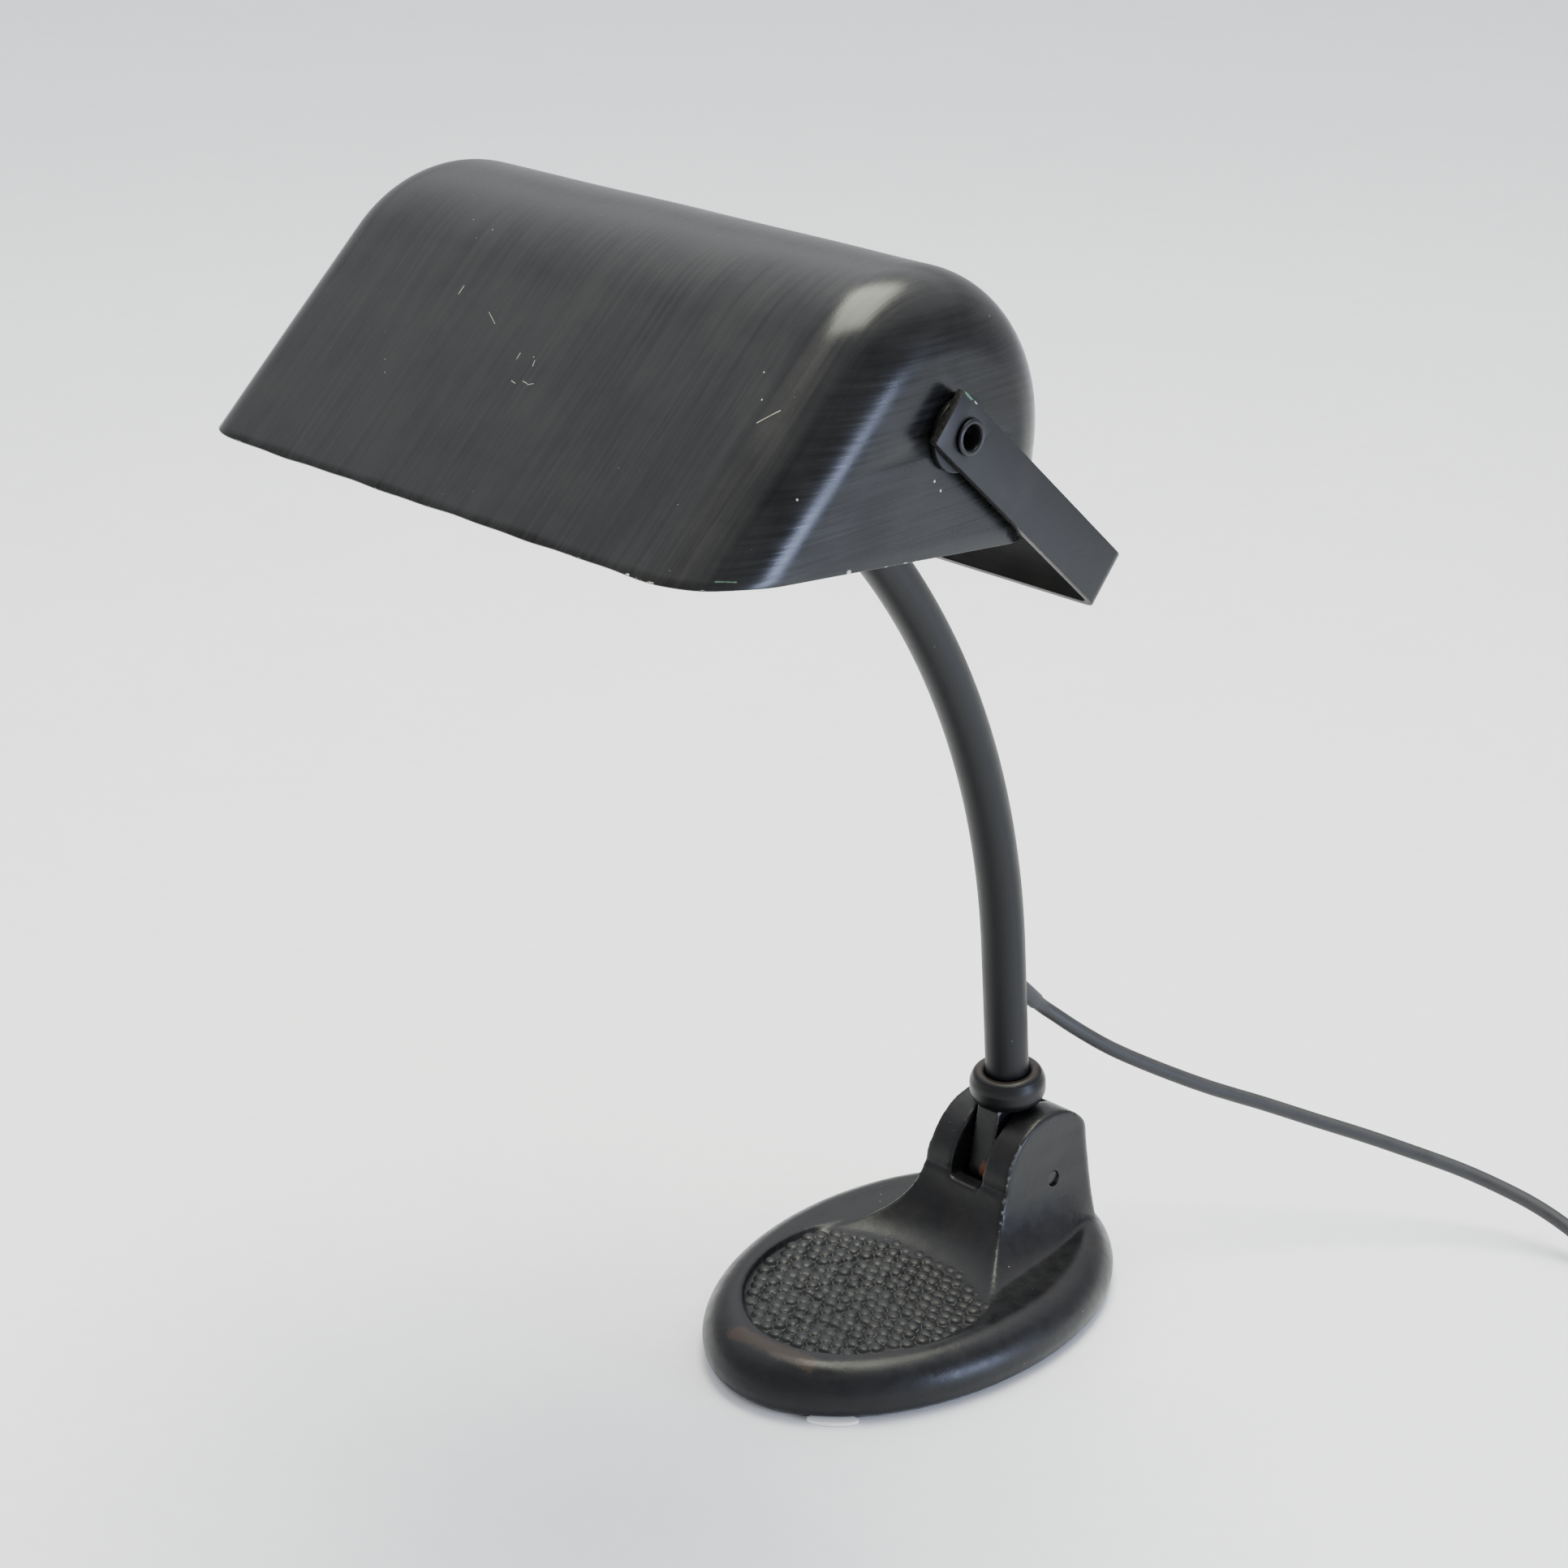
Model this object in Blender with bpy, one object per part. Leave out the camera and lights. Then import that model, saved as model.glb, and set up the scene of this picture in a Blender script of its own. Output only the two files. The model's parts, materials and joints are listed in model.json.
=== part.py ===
"""Banker desk lamp with a tilting bent stem, a U-bracket and a tilting sheet-metal shade.

Frame: +Z up, the table is z = 0, +X runs along the shade, -Y is the front.
The origin lies on the table, below the root of the stem.
"""

from math import acos, asin, atan2, cos, hypot, pi, radians, sin, tan

import bmesh
import bpy
from mathutils import Matrix, Vector

MM = 0.001

# ---------------------------------------------------------------- clearances
SEAT_GAP = 0.3 * MM       # between faces that rest on each other
RUNNING_GAP = 0.10 * MM   # radial, between a pin and its bore

# ---------------------------------------------------------------- base
BASE_HALF_WIDTH = 61.3 * MM
BASE_HALF_LENGTH = 88.5 * MM
BASE_CENTRE_Y = -50.3 * MM
BASE_EGG = 0.03                  # the outline is this share wider towards the back
RIM_HEIGHT = 20.0 * MM
RIM_WIDEST_Z = 7.0 * MM
RIM_CREST_INSET = 12.5 * MM
RIM_FOOT_INSET = 2.5 * MM
SHOULDER_Z = 19.4 * MM
PAD_Z = 17.0 * MM
PAD_HALF_WIDTH = 43.1 * MM
PAD_HALF_LENGTH = 52.2 * MM
PAD_CENTRE_Y = -68.9 * MM
FELT_THICKNESS = 1.2 * MM
FELT_INSET = 4.0 * MM
HOLLOW_INSET = 10.0 * MM
HOLLOW_ROOF_Z = 11.5 * MM

# ---------------------------------------------------------------- fork on the base
PIN_Y = 4.1 * MM
PIN_Z = 40.6 * MM
PIN_RADIUS = 3.0 * MM
CHEEK_RADIUS = 25.4 * MM         # rounded top of the cheeks, about the pin
FORK_TOP_HALF_WIDTH = 18.6 * MM
FORK_HALF_WIDTH = 20.0 * MM
FORK_FRONT_Y = -21.5 * MM
FORK_BACK_Y = 27.0 * MM
FLARE_SIDE = 24.0 * MM           # how far the sides sweep out at the foot
FLARE_FRONT = 36.0 * MM          # how far the front corners sweep forward
FLARE_MIDDLE = 23.0 * MM         # how far the middle of the ramp sweeps forward
FLARE_BACK = 6.0 * MM            # how far the cheeks splay out at their back edges
FLARE_HEIGHT = 30.0 * MM
FLARE_SIDE_HEIGHT = 24.0 * MM
FLARE_FOOT_Z = 18.0 * MM
SLOT_WIDTH = 14.5 * MM
SLOT_LIP_Z = 40.5 * MM           # front lower lip of the slot

# ---------------------------------------------------------------- knuckle and collar
KNUCKLE_RADIUS = 17.6 * MM
WELL_GAP = 1.5 * MM              # round the knuckle's disc, so that its neck clears the lip
KNUCKLE_WIDTH = 10.6 * MM
KNUCKLE_TOP_HALF = 11.0 * MM
WASHER_THICKNESS = 1.3 * MM
WASHER_RADIUS = 9.0 * MM
COLLAR_BOTTOM = 27.6 * MM        # along the stem, from the pin
COLLAR_HEIGHT = 11.7 * MM
COLLAR_RADIUS = 14.1 * MM
COLLAR_RIM_RADIUS = 10.6 * MM
STUB_TOP = 50.0 * MM

# ---------------------------------------------------------------- stem tube
STEM_LEAN = radians(5.0)         # forward lean of its straight foot
TUBE_RADIUS = 8.0 * MM
TUBE_WALL = 1.5 * MM
TUBE_BOTTOM = 28.2 * MM          # along the stem, from the pin
TUBE_STRAIGHT = 89.8 * MM        # from the pin to the start of the bend
TUBE_BEND_RADIUS = 294.5 * MM
ARM_SLOPE = radians(42.17)       # the bracket's arms run down and back at this slope

# ---------------------------------------------------------------- cord exit
CORD_DIAMETER = 5.5 * MM
EXIT_HEIGHT = 110.9 * MM         # of the hole in the back of the tube
EXIT_SLOPE = radians(42.7)       # downwards, towards the back
RELIEF_INSIDE = TUBE_RADIUS - 3.8 * MM
RELIEF_OUTSIDE = 13.2 * MM
RELIEF_ROOT_RADIUS = 3.5 * MM
RELIEF_TIP_RADIUS = 3.15 * MM
FLEX_DIAMETER = 5.0 * MM         # the cord's inner part, up through the tube

# ---------------------------------------------------------------- shade
SHADE_HALF_LENGTH = 112.8 * MM
SHADE_SHEET = 0.9 * MM
CROWN_RADIUS = 51.5 * MM
CROWN_Y = -2.0 * MM              # centre of the crown, from the pivot, in the shade's frame
CROWN_Z = -7.7 * MM
SHADE_FRONT_Y = -94.3 * MM
SHADE_MOUTH_Z = -35.5 * MM
SHADE_END_RADIUS = 22.5 * MM     # between the shell and the end caps
SHADE_PITCH = radians(-6.5)      # the mouth faces slightly forward

# ---------------------------------------------------------------- bracket and pivots
ARM_LENGTH = 87.8 * MM           # pivot to the middle of the cross bar
ARM_BEYOND_PIVOT = 11.1 * MM
BAR_WIDTH = 17.2 * MM
BAR_THICKNESS = 2.6 * MM
BAR_BEND_RADIUS = 5.5 * MM
SPACER_THICKNESS = 1.9 * MM
SPACER_RADIUS = 11.0 * MM
INNER_WASHER_THICKNESS = 1.2 * MM
INNER_WASHER_RADIUS = 8.0 * MM
RIVET_SHANK_RADIUS = 4.4 * MM
RIVET_BORE_RADIUS = 3.6 * MM
RIVET_RIM_RADIUS = 5.4 * MM
RIVET_RIM_THICKNESS = 1.0 * MM

# ---------------------------------------------------------------- stem top fixing
NIPPLE_RADIUS = 4.8 * MM
NIPPLE_BORE = 3.1 * MM
NIPPLE_BELOW = 14.0 * MM         # length inside the tube
NIPPLE_ABOVE = 7.0 * MM          # beyond the cross bar
NUT_FLATS = 14.0 * MM
NUT_THICKNESS = 3.6 * MM
LOCK_WASHER_THICKNESS = 0.8 * MM
LOCK_WASHER_RADIUS = 8.6 * MM

# ---------------------------------------------------------------- lampholder and bulb
STRAP_X = -84.0 * MM             # lampholder face of the strap
STRAP_THICKNESS = 1.5 * MM
STRAP_WIDTH = 15.0 * MM
STRAP_HALF_SPAN = 9.5 * MM       # half of the gap between its legs
STRAP_FOOT = 11.0 * MM
STRAP_RIVET_RADIUS = 1.6 * MM
STRAP_RIVET_HEAD = 3.0 * MM
HOLDER_NIPPLE_LENGTH = 14.0 * MM
HOLDER_CAP_LENGTH = 17.0 * MM
HOLDER_BODY_LENGTH = 35.0 * MM
HOLDER_RADIUS = 19.0 * MM
HOLDER_WALL = 2.4 * MM
INSERT_THICKNESS = 7.0 * MM
BULB_CAP_RADIUS = 13.1 * MM
BULB_CAP_LENGTH = 25.0 * MM
BULB_RADIUS = 22.5 * MM
BULB_LENGTH = 52.0 * MM
BULB_GLASS = 1.0 * MM
HOLDER_FLEX_DIAMETER = 3.4 * MM

# ---------------------------------------------------------------- cord coil and plug
COIL_CENTRE = (225.0 * MM, 189.3 * MM)
COIL_INNER_RADIUS = 19.0 * MM
COIL_OUTER_RADIUS = 44.6 * MM
COIL_BOTTOM = 1.2 * MM
COIL_HEIGHT = 11.4 * MM
TIE_WIDTH = 8.0 * MM
TIE_THICKNESS = 0.7 * MM
PLUG_AXIS_Z = 7.2 * MM
PLUG_RELIEF_LENGTH = 20.0 * MM
PLUG_BODY_LENGTH = 35.0 * MM
PLUG_BODY_WIDTH = 26.0 * MM
PLUG_BODY_HEIGHT = 13.7 * MM
PLUG_PIN_LENGTH = 19.0 * MM
PLUG_PIN_RADIUS = 2.0 * MM
PLUG_PIN_SPACING = 18.6 * MM
PLUG_TURN = 41.6 * MM            # radius at which the cord leaves the coil

# The lead's own way from the strain relief to the coil, in metres.
LEAD_ROUTE = [
    (0.0020, 0.0240, 0.0943),
    (0.0070, 0.0330, 0.0860),
    (0.0155, 0.0430, 0.0775),
    (0.0265, 0.0565, 0.0685),
    (0.0395, 0.0720, 0.0595),
    (0.0535, 0.0875, 0.0520),
    (0.0680, 0.1015, 0.0450),
    (0.0825, 0.1140, 0.0390),
    (0.0970, 0.1255, 0.0330),
    (0.1115, 0.1355, 0.0275),
    (0.1250, 0.1425, 0.0225),
    (0.1380, 0.1470, 0.0180),
    (0.1510, 0.1495, 0.0130),
    (0.1660, 0.1506, 0.0066),
    (0.1800, 0.1508, 0.0036),
    (0.1900, 0.1507, 0.0034),
    (0.1984, 0.1505, 0.0039),
]

# ---------------------------------------------------------------- derived places
ROUND = 32                        # sides of a turned piece
CASTING_BOTTOM = FELT_THICKNESS + SEAT_GAP
TUBE_BORE = TUBE_RADIUS - TUBE_WALL
TUBE_END_ANGLE = pi / 2 - ARM_SLOPE
PIN_CENTRE = Vector((0.0, PIN_Y, PIN_Z))
STEM_FRAME = Matrix.Translation(PIN_CENTRE) @ Matrix.Rotation(STEM_LEAN, 4, "X")


def bend_point(angle, offset=0.0):
    """Point on the stem's centreline where it leans by angle, moved by offset towards the back."""
    start = STEM_FRAME @ Vector((0.0, 0.0, TUBE_STRAIGHT))
    radius = TUBE_BEND_RADIUS
    y = start.y - radius * (cos(STEM_LEAN) - cos(angle)) + offset * cos(angle)
    z = start.z + radius * (sin(angle) - sin(STEM_LEAN)) + offset * sin(angle)
    return Vector((0.0, y, z))


TUBE_TOP = bend_point(TUBE_END_ANGLE)
ARM_ROTATION = Matrix.Rotation(-ARM_SLOPE, 4, "X")
ARM_DIRECTION = ARM_ROTATION @ Vector((0.0, 1.0, 0.0))
PIVOT = TUBE_TOP - ARM_DIRECTION * (SEAT_GAP + BAR_THICKNESS / 2 + ARM_LENGTH)
BRACKET_FRAME = Matrix.Translation(PIVOT) @ ARM_ROTATION
SHADE_FRAME = Matrix.Translation(PIVOT) @ Matrix.Rotation(SHADE_PITCH, 4, "X")
# Seen from the cross bar's middle, +Z points to the pivot, as the stem's end does.
STEM_TOP_FRAME = (BRACKET_FRAME @ Matrix.Translation((0.0, ARM_LENGTH, 0.0))
                  @ Matrix.Rotation(pi / 2, 4, "X"))
ARM_INNER_X = SHADE_HALF_LENGTH + SPACER_THICKNESS + 2 * SEAT_GAP
ARM_OUTER_X = ARM_INNER_X + BAR_THICKNESS


# ================================================================ helpers
def clear_scene():
    """Remove every object, so that the file holds only the lamp."""
    for old in list(bpy.data.objects):
        bpy.data.objects.remove(old, do_unlink=True)


def finish(name, color, roughness, metallic=0.0):
    """A Principled material with one colour, roughness and metallic value."""
    made = bpy.data.materials.new(name)
    made.use_nodes = True
    shader = made.node_tree.nodes["Principled BSDF"]
    shader.inputs["Base Color"].default_value = (*color, 1.0)
    shader.inputs["Roughness"].default_value = roughness
    shader.inputs["Metallic"].default_value = metallic
    return made


def add_object(name, bm, material, frame=None, parent=None, smooth=True):
    """Turn a bmesh into a named object, placed by a frame and parented to an empty."""
    bmesh.ops.remove_doubles(bm, verts=bm.verts, dist=1e-7)
    bmesh.ops.recalc_face_normals(bm, faces=bm.faces)
    mesh = bpy.data.meshes.new(name)
    bm.to_mesh(mesh)
    bm.free()
    if smooth:
        mesh.shade_smooth()
        mesh.set_sharp_from_angle(angle=radians(35))
    made = bpy.data.objects.new(name, mesh)
    bpy.context.scene.collection.objects.link(made)
    if material:
        mesh.materials.append(material)
    made.matrix_world = frame or Matrix.Identity(4)
    if parent:
        attach(made, parent)
    return made


def attach(made, parent):
    """Parent an object to an empty and keep its place."""
    place = made.matrix_world.copy()
    made.parent = parent
    made.matrix_parent_inverse = parent.matrix_world.inverted()
    made.matrix_world = place


def add_empty(name, frame, parent=None):
    """An empty on a joint's axis, which carries the pieces that move with it."""
    made = bpy.data.objects.new(name, None)
    made.empty_display_size = 0.02
    bpy.context.scene.collection.objects.link(made)
    made.matrix_world = frame
    if parent:
        bpy.context.view_layer.update()
        attach(made, parent)
    bpy.context.view_layer.update()
    return made


def apply_boolean(target, tool, operation="DIFFERENCE"):
    """Cut or join a tool, which stays hidden as a guide."""
    tool.hide_render = True
    tool.display_type = "WIRE"
    step = target.modifiers.new(operation.title(), "BOOLEAN")
    step.operation = operation
    step.solver = "EXACT"
    step.object = tool


def turned(outline, steps=ROUND):
    """A solid of revolution about Z from (radius, z) points. A ring's outline doesn't reach the axis."""
    bm = bmesh.new()
    verts = [bm.verts.new((radius, 0.0, z)) for radius, z in outline]
    pairs = list(zip(verts, verts[1:]))
    if outline[0][0] > 0.0:
        pairs.append((verts[-1], verts[0]))
    edges = [bm.edges.new(pair) for pair in pairs]
    bmesh.ops.spin(bm, geom=verts + edges, cent=(0, 0, 0), axis=(0, 0, 1), angle=2 * pi,
                   steps=steps, use_merge=True, use_normal_flip=False)
    bmesh.ops.remove_doubles(bm, verts=bm.verts, dist=1e-7)
    return bm


def disc(radius, low, high, bore=0.0, steps=ROUND):
    """A plain round piece along Z, with a bore where one is given."""
    if bore:
        return turned([(bore, low), (radius, low), (radius, high), (bore, high)], steps)
    return turned([(0.0, low), (radius, low), (radius, high), (0.0, high)], steps)


def prism(outline, low, high):
    """A solid between two heights over a flat outline of (x, y) points."""
    bm = bmesh.new()
    face = bm.faces.new([bm.verts.new((x, y, low)) for x, y in outline])
    grown = bmesh.ops.extrude_face_region(bm, geom=[face])
    moved = [g for g in grown["geom"] if isinstance(g, bmesh.types.BMVert)]
    bmesh.ops.translate(bm, verts=moved, vec=(0.0, 0.0, high - low))
    return bm


def loft(rings, hollow=False):
    """A closed solid through rings with equal counts. A hollow one runs back to its first ring."""
    bm = bmesh.new()
    rows = [[bm.verts.new(point) for point in ring] for ring in rings]
    count = len(rows[0])
    if hollow:
        rows.append(rows[0])
    for lower, upper in zip(rows, rows[1:]):
        for i in range(count):
            j = (i + 1) % count
            bm.faces.new((lower[i], lower[j], upper[j], upper[i]))
    if not hollow:
        bm.faces.new(rows[0])
        bm.faces.new(rows[-1])
    return bm


def arc(centre, radius, start, end, steps):
    """Points of an arc from one angle to another, both ends included."""
    turn = (end - start) / steps
    return [(centre[0] + radius * cos(start + turn * i), centre[1] + radius * sin(start + turn * i))
            for i in range(steps + 1)]


def hexagon(flats):
    """Corners of a hexagon of that size across its flats."""
    return arc((0.0, 0.0), flats / 2 / cos(pi / 6), 0.0, 5 * pi / 3, 5)


def along_x(x=0.0, centre=None):
    """A frame whose Z runs along +X, from the point x on a line through centre."""
    centre = centre or Vector((0.0, 0.0, 0.0))
    return Matrix.Translation((x, centre.y, centre.z)) @ Matrix.Rotation(pi / 2, 4, "Y")


def yz_frame():
    """A frame whose X, Y and Z are the world's Y, Z and X."""
    return Matrix(((0, 0, 1, 0), (1, 0, 0, 0), (0, 1, 0, 0), (0, 0, 0, 1)))


def smooth_points(route, spacing):
    """Points at an even spacing on a smooth curve through a route."""
    route = [Vector(point) for point in route]
    padded = [2 * route[0] - route[1]] + route + [2 * route[-1] - route[-2]]
    fine = []
    for a, b, c, d in zip(padded, padded[1:], padded[2:], padded[3:]):
        for step in range(16):
            t = step / 16
            fine.append(0.5 * (2 * b + (c - a) * t + (2 * a - 5 * b + 4 * c - d) * t * t
                               + (3 * b - a - 3 * c + d) * t ** 3))
    fine.append(route[-1])
    lengths = [0.0]
    for a, b in zip(fine, fine[1:]):
        lengths.append(lengths[-1] + (b - a).length)
    count = max(2, round(lengths[-1] / spacing))
    points = []
    i = 0
    for k in range(count + 1):
        wanted = lengths[-1] * k / count
        while i < len(fine) - 2 and lengths[i + 1] < wanted:
            i += 1
        share = (wanted - lengths[i]) / (lengths[i + 1] - lengths[i])
        points.append(fine[i].lerp(fine[i + 1], share))
    return points


def add_cord(name, points, diameter, material, parent):
    """A round cord as a curve with a bevel and filled caps."""
    curve = bpy.data.curves.new(name, "CURVE")
    curve.dimensions = "3D"
    curve.bevel_depth = diameter / 2
    curve.bevel_resolution = 2
    curve.use_fill_caps = True
    spline = curve.splines.new("POLY")
    spline.points.add(len(points) - 1)
    for knot, point in zip(spline.points, points):
        knot.co = (*point, 1.0)
    made = bpy.data.objects.new(name, curve)
    bpy.context.scene.collection.objects.link(made)
    curve.materials.append(material)
    attach(made, parent)
    return made


# ================================================================ base
def base_outline(inset, steps=64):
    """The base's egg-shaped outline, drawn in by an inset."""
    points = []
    for i in range(steps):
        turn = 2 * pi * i / steps
        half_width = (BASE_HALF_WIDTH - inset) * (1 + BASE_EGG * sin(turn))
        points.append((half_width * cos(turn), BASE_CENTRE_Y + (BASE_HALF_LENGTH - inset) * sin(turn)))
    return points


def rim_rings():
    """Rings of the base's rounded rim, from its underside to the flat inside the crest."""
    rings = [(CASTING_BOTTOM, RIM_FOOT_INSET), (RIM_WIDEST_Z * 0.55, 0.6 * MM), (RIM_WIDEST_Z, 0.0)]
    for i in range(1, 6):
        angle = pi / 2 * i / 5
        z = RIM_WIDEST_Z + (RIM_HEIGHT - RIM_WIDEST_Z) * sin(angle)
        rings.append((z, RIM_CREST_INSET * (1 - cos(angle))))
    rings.append((SHOULDER_Z, RIM_CREST_INSET + 4.0 * MM))
    return [[(x, y, z) for x, y in base_outline(inset)] for z, inset in rings]


def sweep(z, foot, height, depth):
    """How far a concave flare has swept out at height z."""
    rise = min(1.0, max(0.0, (z - foot) / height))
    return depth * (1.0 - (1.0 - (1.0 - rise) ** 2) ** 0.5)


def fork_section(z):
    """Plan outline of the fork block at height z, flared towards its foot."""
    lean = (FORK_HALF_WIDTH - FORK_TOP_HALF_WIDTH) * max(0.0, z - SLOT_LIP_Z) / (CHEEK_RADIUS)
    side = FORK_HALF_WIDTH - lean
    corner_x = side + sweep(z, FLARE_FOOT_Z, FLARE_SIDE_HEIGHT, FLARE_SIDE)
    corner_y = FORK_FRONT_Y - sweep(z, FLARE_FOOT_Z, FLARE_HEIGHT, FLARE_FRONT)
    middle_y = FORK_FRONT_Y - sweep(z, FLARE_FOOT_Z, FLARE_HEIGHT, FLARE_MIDDLE)
    splay = 1.0 - min(1.0, max(0.0, (z - FLARE_FOOT_Z) / (1.4 * FLARE_HEIGHT)))
    side_x = side + sweep(z, FLARE_FOOT_Z, 0.8 * FLARE_SIDE_HEIGHT, FLARE_SIDE / 2) + FLARE_BACK * splay ** 2
    back_x = side + FLARE_BACK * splay ** 2
    back_y = FORK_BACK_Y
    bevel = 5.0 * MM
    right = [
        (corner_x * 0.5, middle_y + (corner_y - middle_y) * 0.22),
        (corner_x, corner_y),
        ((corner_x + 2 * side_x) / 3, corner_y * 0.55),
        (side_x, 0.0),
        (back_x, back_y - bevel),
        (back_x - bevel * 0.3, back_y - bevel * 0.3),
        (back_x - bevel, back_y),
    ]
    left = [(-x, y) for x, y in reversed(right)]
    return [(x, y, z) for x, y in right + left + [(0.0, middle_y)]]


def fork_block():
    """The fork block below its rounded top, as a loft of plan outlines."""
    steps = 9
    flare = [FLARE_FOOT_Z + FLARE_HEIGHT * (1 - cos(pi / 2 * i / steps)) for i in range(steps + 1)]
    levels = [HOLLOW_ROOF_Z + 2.5 * MM] + flare + [PIN_Z + CHEEK_RADIUS + 3.0 * MM]
    return loft([fork_section(z) for z in levels])


def cheek_envelope():
    """Side view of what the block may fill: everything low, and a disc about the pin higher up."""
    waist = PIN_Z + 1.0 * MM
    reach = asin(1.0 * MM / CHEEK_RADIUS)
    top = arc((PIN_Y, PIN_Z), CHEEK_RADIUS, reach, pi - reach, 28)
    back = FORK_BACK_Y + 3 * FLARE_BACK
    front = FORK_FRONT_Y - 2 * FLARE_FRONT
    return [(front, 0.0), (back, 0.0), (back, waist)] + top + [(front, waist)]


def slot_outline():
    """Side view of the slot: a round well for the knuckle, open to the front above the lip."""
    well = KNUCKLE_RADIUS + WELL_GAP
    lip = asin((PIN_Z - SLOT_LIP_Z) / well)
    # The back of the slot follows the back of the knuckle's neck and stops the stem there.
    slope, gap = neck_side()
    stop_angle = slope - pi / 2 + STEM_LEAN
    stop_start = Vector((PIN_Y + (KNUCKLE_RADIUS + gap) * cos(stop_angle),
                         PIN_Z + (KNUCKLE_RADIUS + gap) * sin(stop_angle)))
    run = Vector((cos(slope + STEM_LEAN), sin(slope + STEM_LEAN)))
    top = stop_start + run * (70.0 * MM - KNUCKLE_RADIUS)
    front = FORK_FRONT_Y - FLARE_FRONT
    well_start = stop_angle - acos((KNUCKLE_RADIUS + gap) / well)
    bottom = arc((PIN_Y, PIN_Z), well, pi + lip, 2 * pi + well_start, 24)
    return [(front, top.y), (front, SLOT_LIP_Z)] + bottom + [tuple(stop_start), tuple(top)]


def neck_side():
    """Slope of the knuckle's straight back in the stem's frame, and the gap to its stop."""
    corner = hypot(KNUCKLE_TOP_HALF, COLLAR_BOTTOM)
    slope = atan2(COLLAR_BOTTOM, KNUCKLE_TOP_HALF) + asin(KNUCKLE_RADIUS / corner)
    return slope, SEAT_GAP


def make_base_casting(material, parent):
    """Cast-iron base: rounded rim, sunk pad, flared fork block, slot, pin bore and hollow underside."""
    casting = add_object("base_casting", loft(rim_rings()), material, parent=parent)
    pad = [(x, y + PAD_CENTRE_Y) for x, y in
           [(PAD_HALF_WIDTH * cos(2 * pi * i / 48), PAD_HALF_LENGTH * sin(2 * pi * i / 48))
            for i in range(48)]]
    pad_cut = add_object("pad_cutter", prism(pad, PAD_Z, 2 * RIM_HEIGHT), None)
    apply_boolean(casting, pad_cut)

    block = add_object("fork_guide", fork_block(), None)
    envelope = prism(cheek_envelope(), -3 * FORK_HALF_WIDTH, 3 * FORK_HALF_WIDTH)
    apply_boolean(block, add_object("cheek_guide", envelope, None, yz_frame()), "INTERSECT")
    apply_boolean(casting, block, "UNION")

    slot = prism(slot_outline(), -SLOT_WIDTH / 2, SLOT_WIDTH / 2)
    apply_boolean(casting, add_object("slot_cutter", slot, None, yz_frame()))
    reach = 2 * FORK_HALF_WIDTH
    bore = disc(PIN_RADIUS + RUNNING_GAP, -reach, reach)
    apply_boolean(casting, add_object("pin_cutter", bore, None, along_x(0.0, PIN_CENTRE)))
    hollow = prism(base_outline(HOLLOW_INSET), -1.0 * MM, HOLLOW_ROOF_Z)
    apply_boolean(casting, add_object("hollow_cutter", hollow, None))
    return casting


def make_base_felt(material, parent):
    """Felt sheet that closes the underside and rests on the table."""
    felt = prism(base_outline(FELT_INSET), 0.0, FELT_THICKNESS)
    return add_object("base_felt", felt, material, parent=parent)


def make_fork_pin(material, parent):
    """Cross pin through both cheeks and the knuckle, sunk a little into each cheek."""
    reach = FORK_HALF_WIDTH - 0.6 * MM
    bevel = 0.5 * MM
    outline = [(0.0, -reach), (PIN_RADIUS - bevel, -reach), (PIN_RADIUS, -reach + bevel),
               (PIN_RADIUS, reach - bevel), (PIN_RADIUS - bevel, reach), (0.0, reach)]
    return add_object("fork_pin", turned(outline), material, along_x(0.0, PIN_CENTRE), parent)


# ================================================================ stem
def make_knuckle(material, parent):
    """Knuckle between the cheeks: a disc about the pin, a tapered neck and a round stub for the tube."""
    slope, _ = neck_side()
    half = KNUCKLE_WIDTH / 2
    tangent = slope - pi / 2
    around = arc((0.0, 0.0), KNUCKLE_RADIUS, -pi - tangent, tangent, 30)
    neck_top = COLLAR_BOTTOM - SEAT_GAP
    side = [(KNUCKLE_TOP_HALF, neck_top), (-KNUCKLE_TOP_HALF, neck_top)]
    body = prism(around + side, -half, half)
    knuckle = add_object("pivot_knuckle", body, material, STEM_FRAME @ yz_frame(), parent)
    stub = disc(TUBE_BORE - RUNNING_GAP, COLLAR_BOTTOM - 6.0 * MM, STUB_TOP)
    apply_boolean(knuckle, add_object("stub_guide", stub, None, STEM_FRAME), "UNION")
    bore = disc(PIN_RADIUS + RUNNING_GAP, -KNUCKLE_WIDTH, KNUCKLE_WIDTH)
    apply_boolean(knuckle, add_object("knuckle_bore_cutter", bore, None, along_x(0.0, PIN_CENTRE)))
    return knuckle


def make_friction_washer(side, material, parent):
    """Thin washer between the knuckle and one cheek."""
    name = "friction_washer_right" if side > 0 else "friction_washer_left"
    middle = side * (KNUCKLE_WIDTH + SLOT_WIDTH) / 4
    washer = disc(WASHER_RADIUS, -WASHER_THICKNESS / 2, WASHER_THICKNESS / 2, PIN_RADIUS + RUNNING_GAP)
    return add_object(name, washer, material, along_x(middle, PIN_CENTRE), parent)


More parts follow.
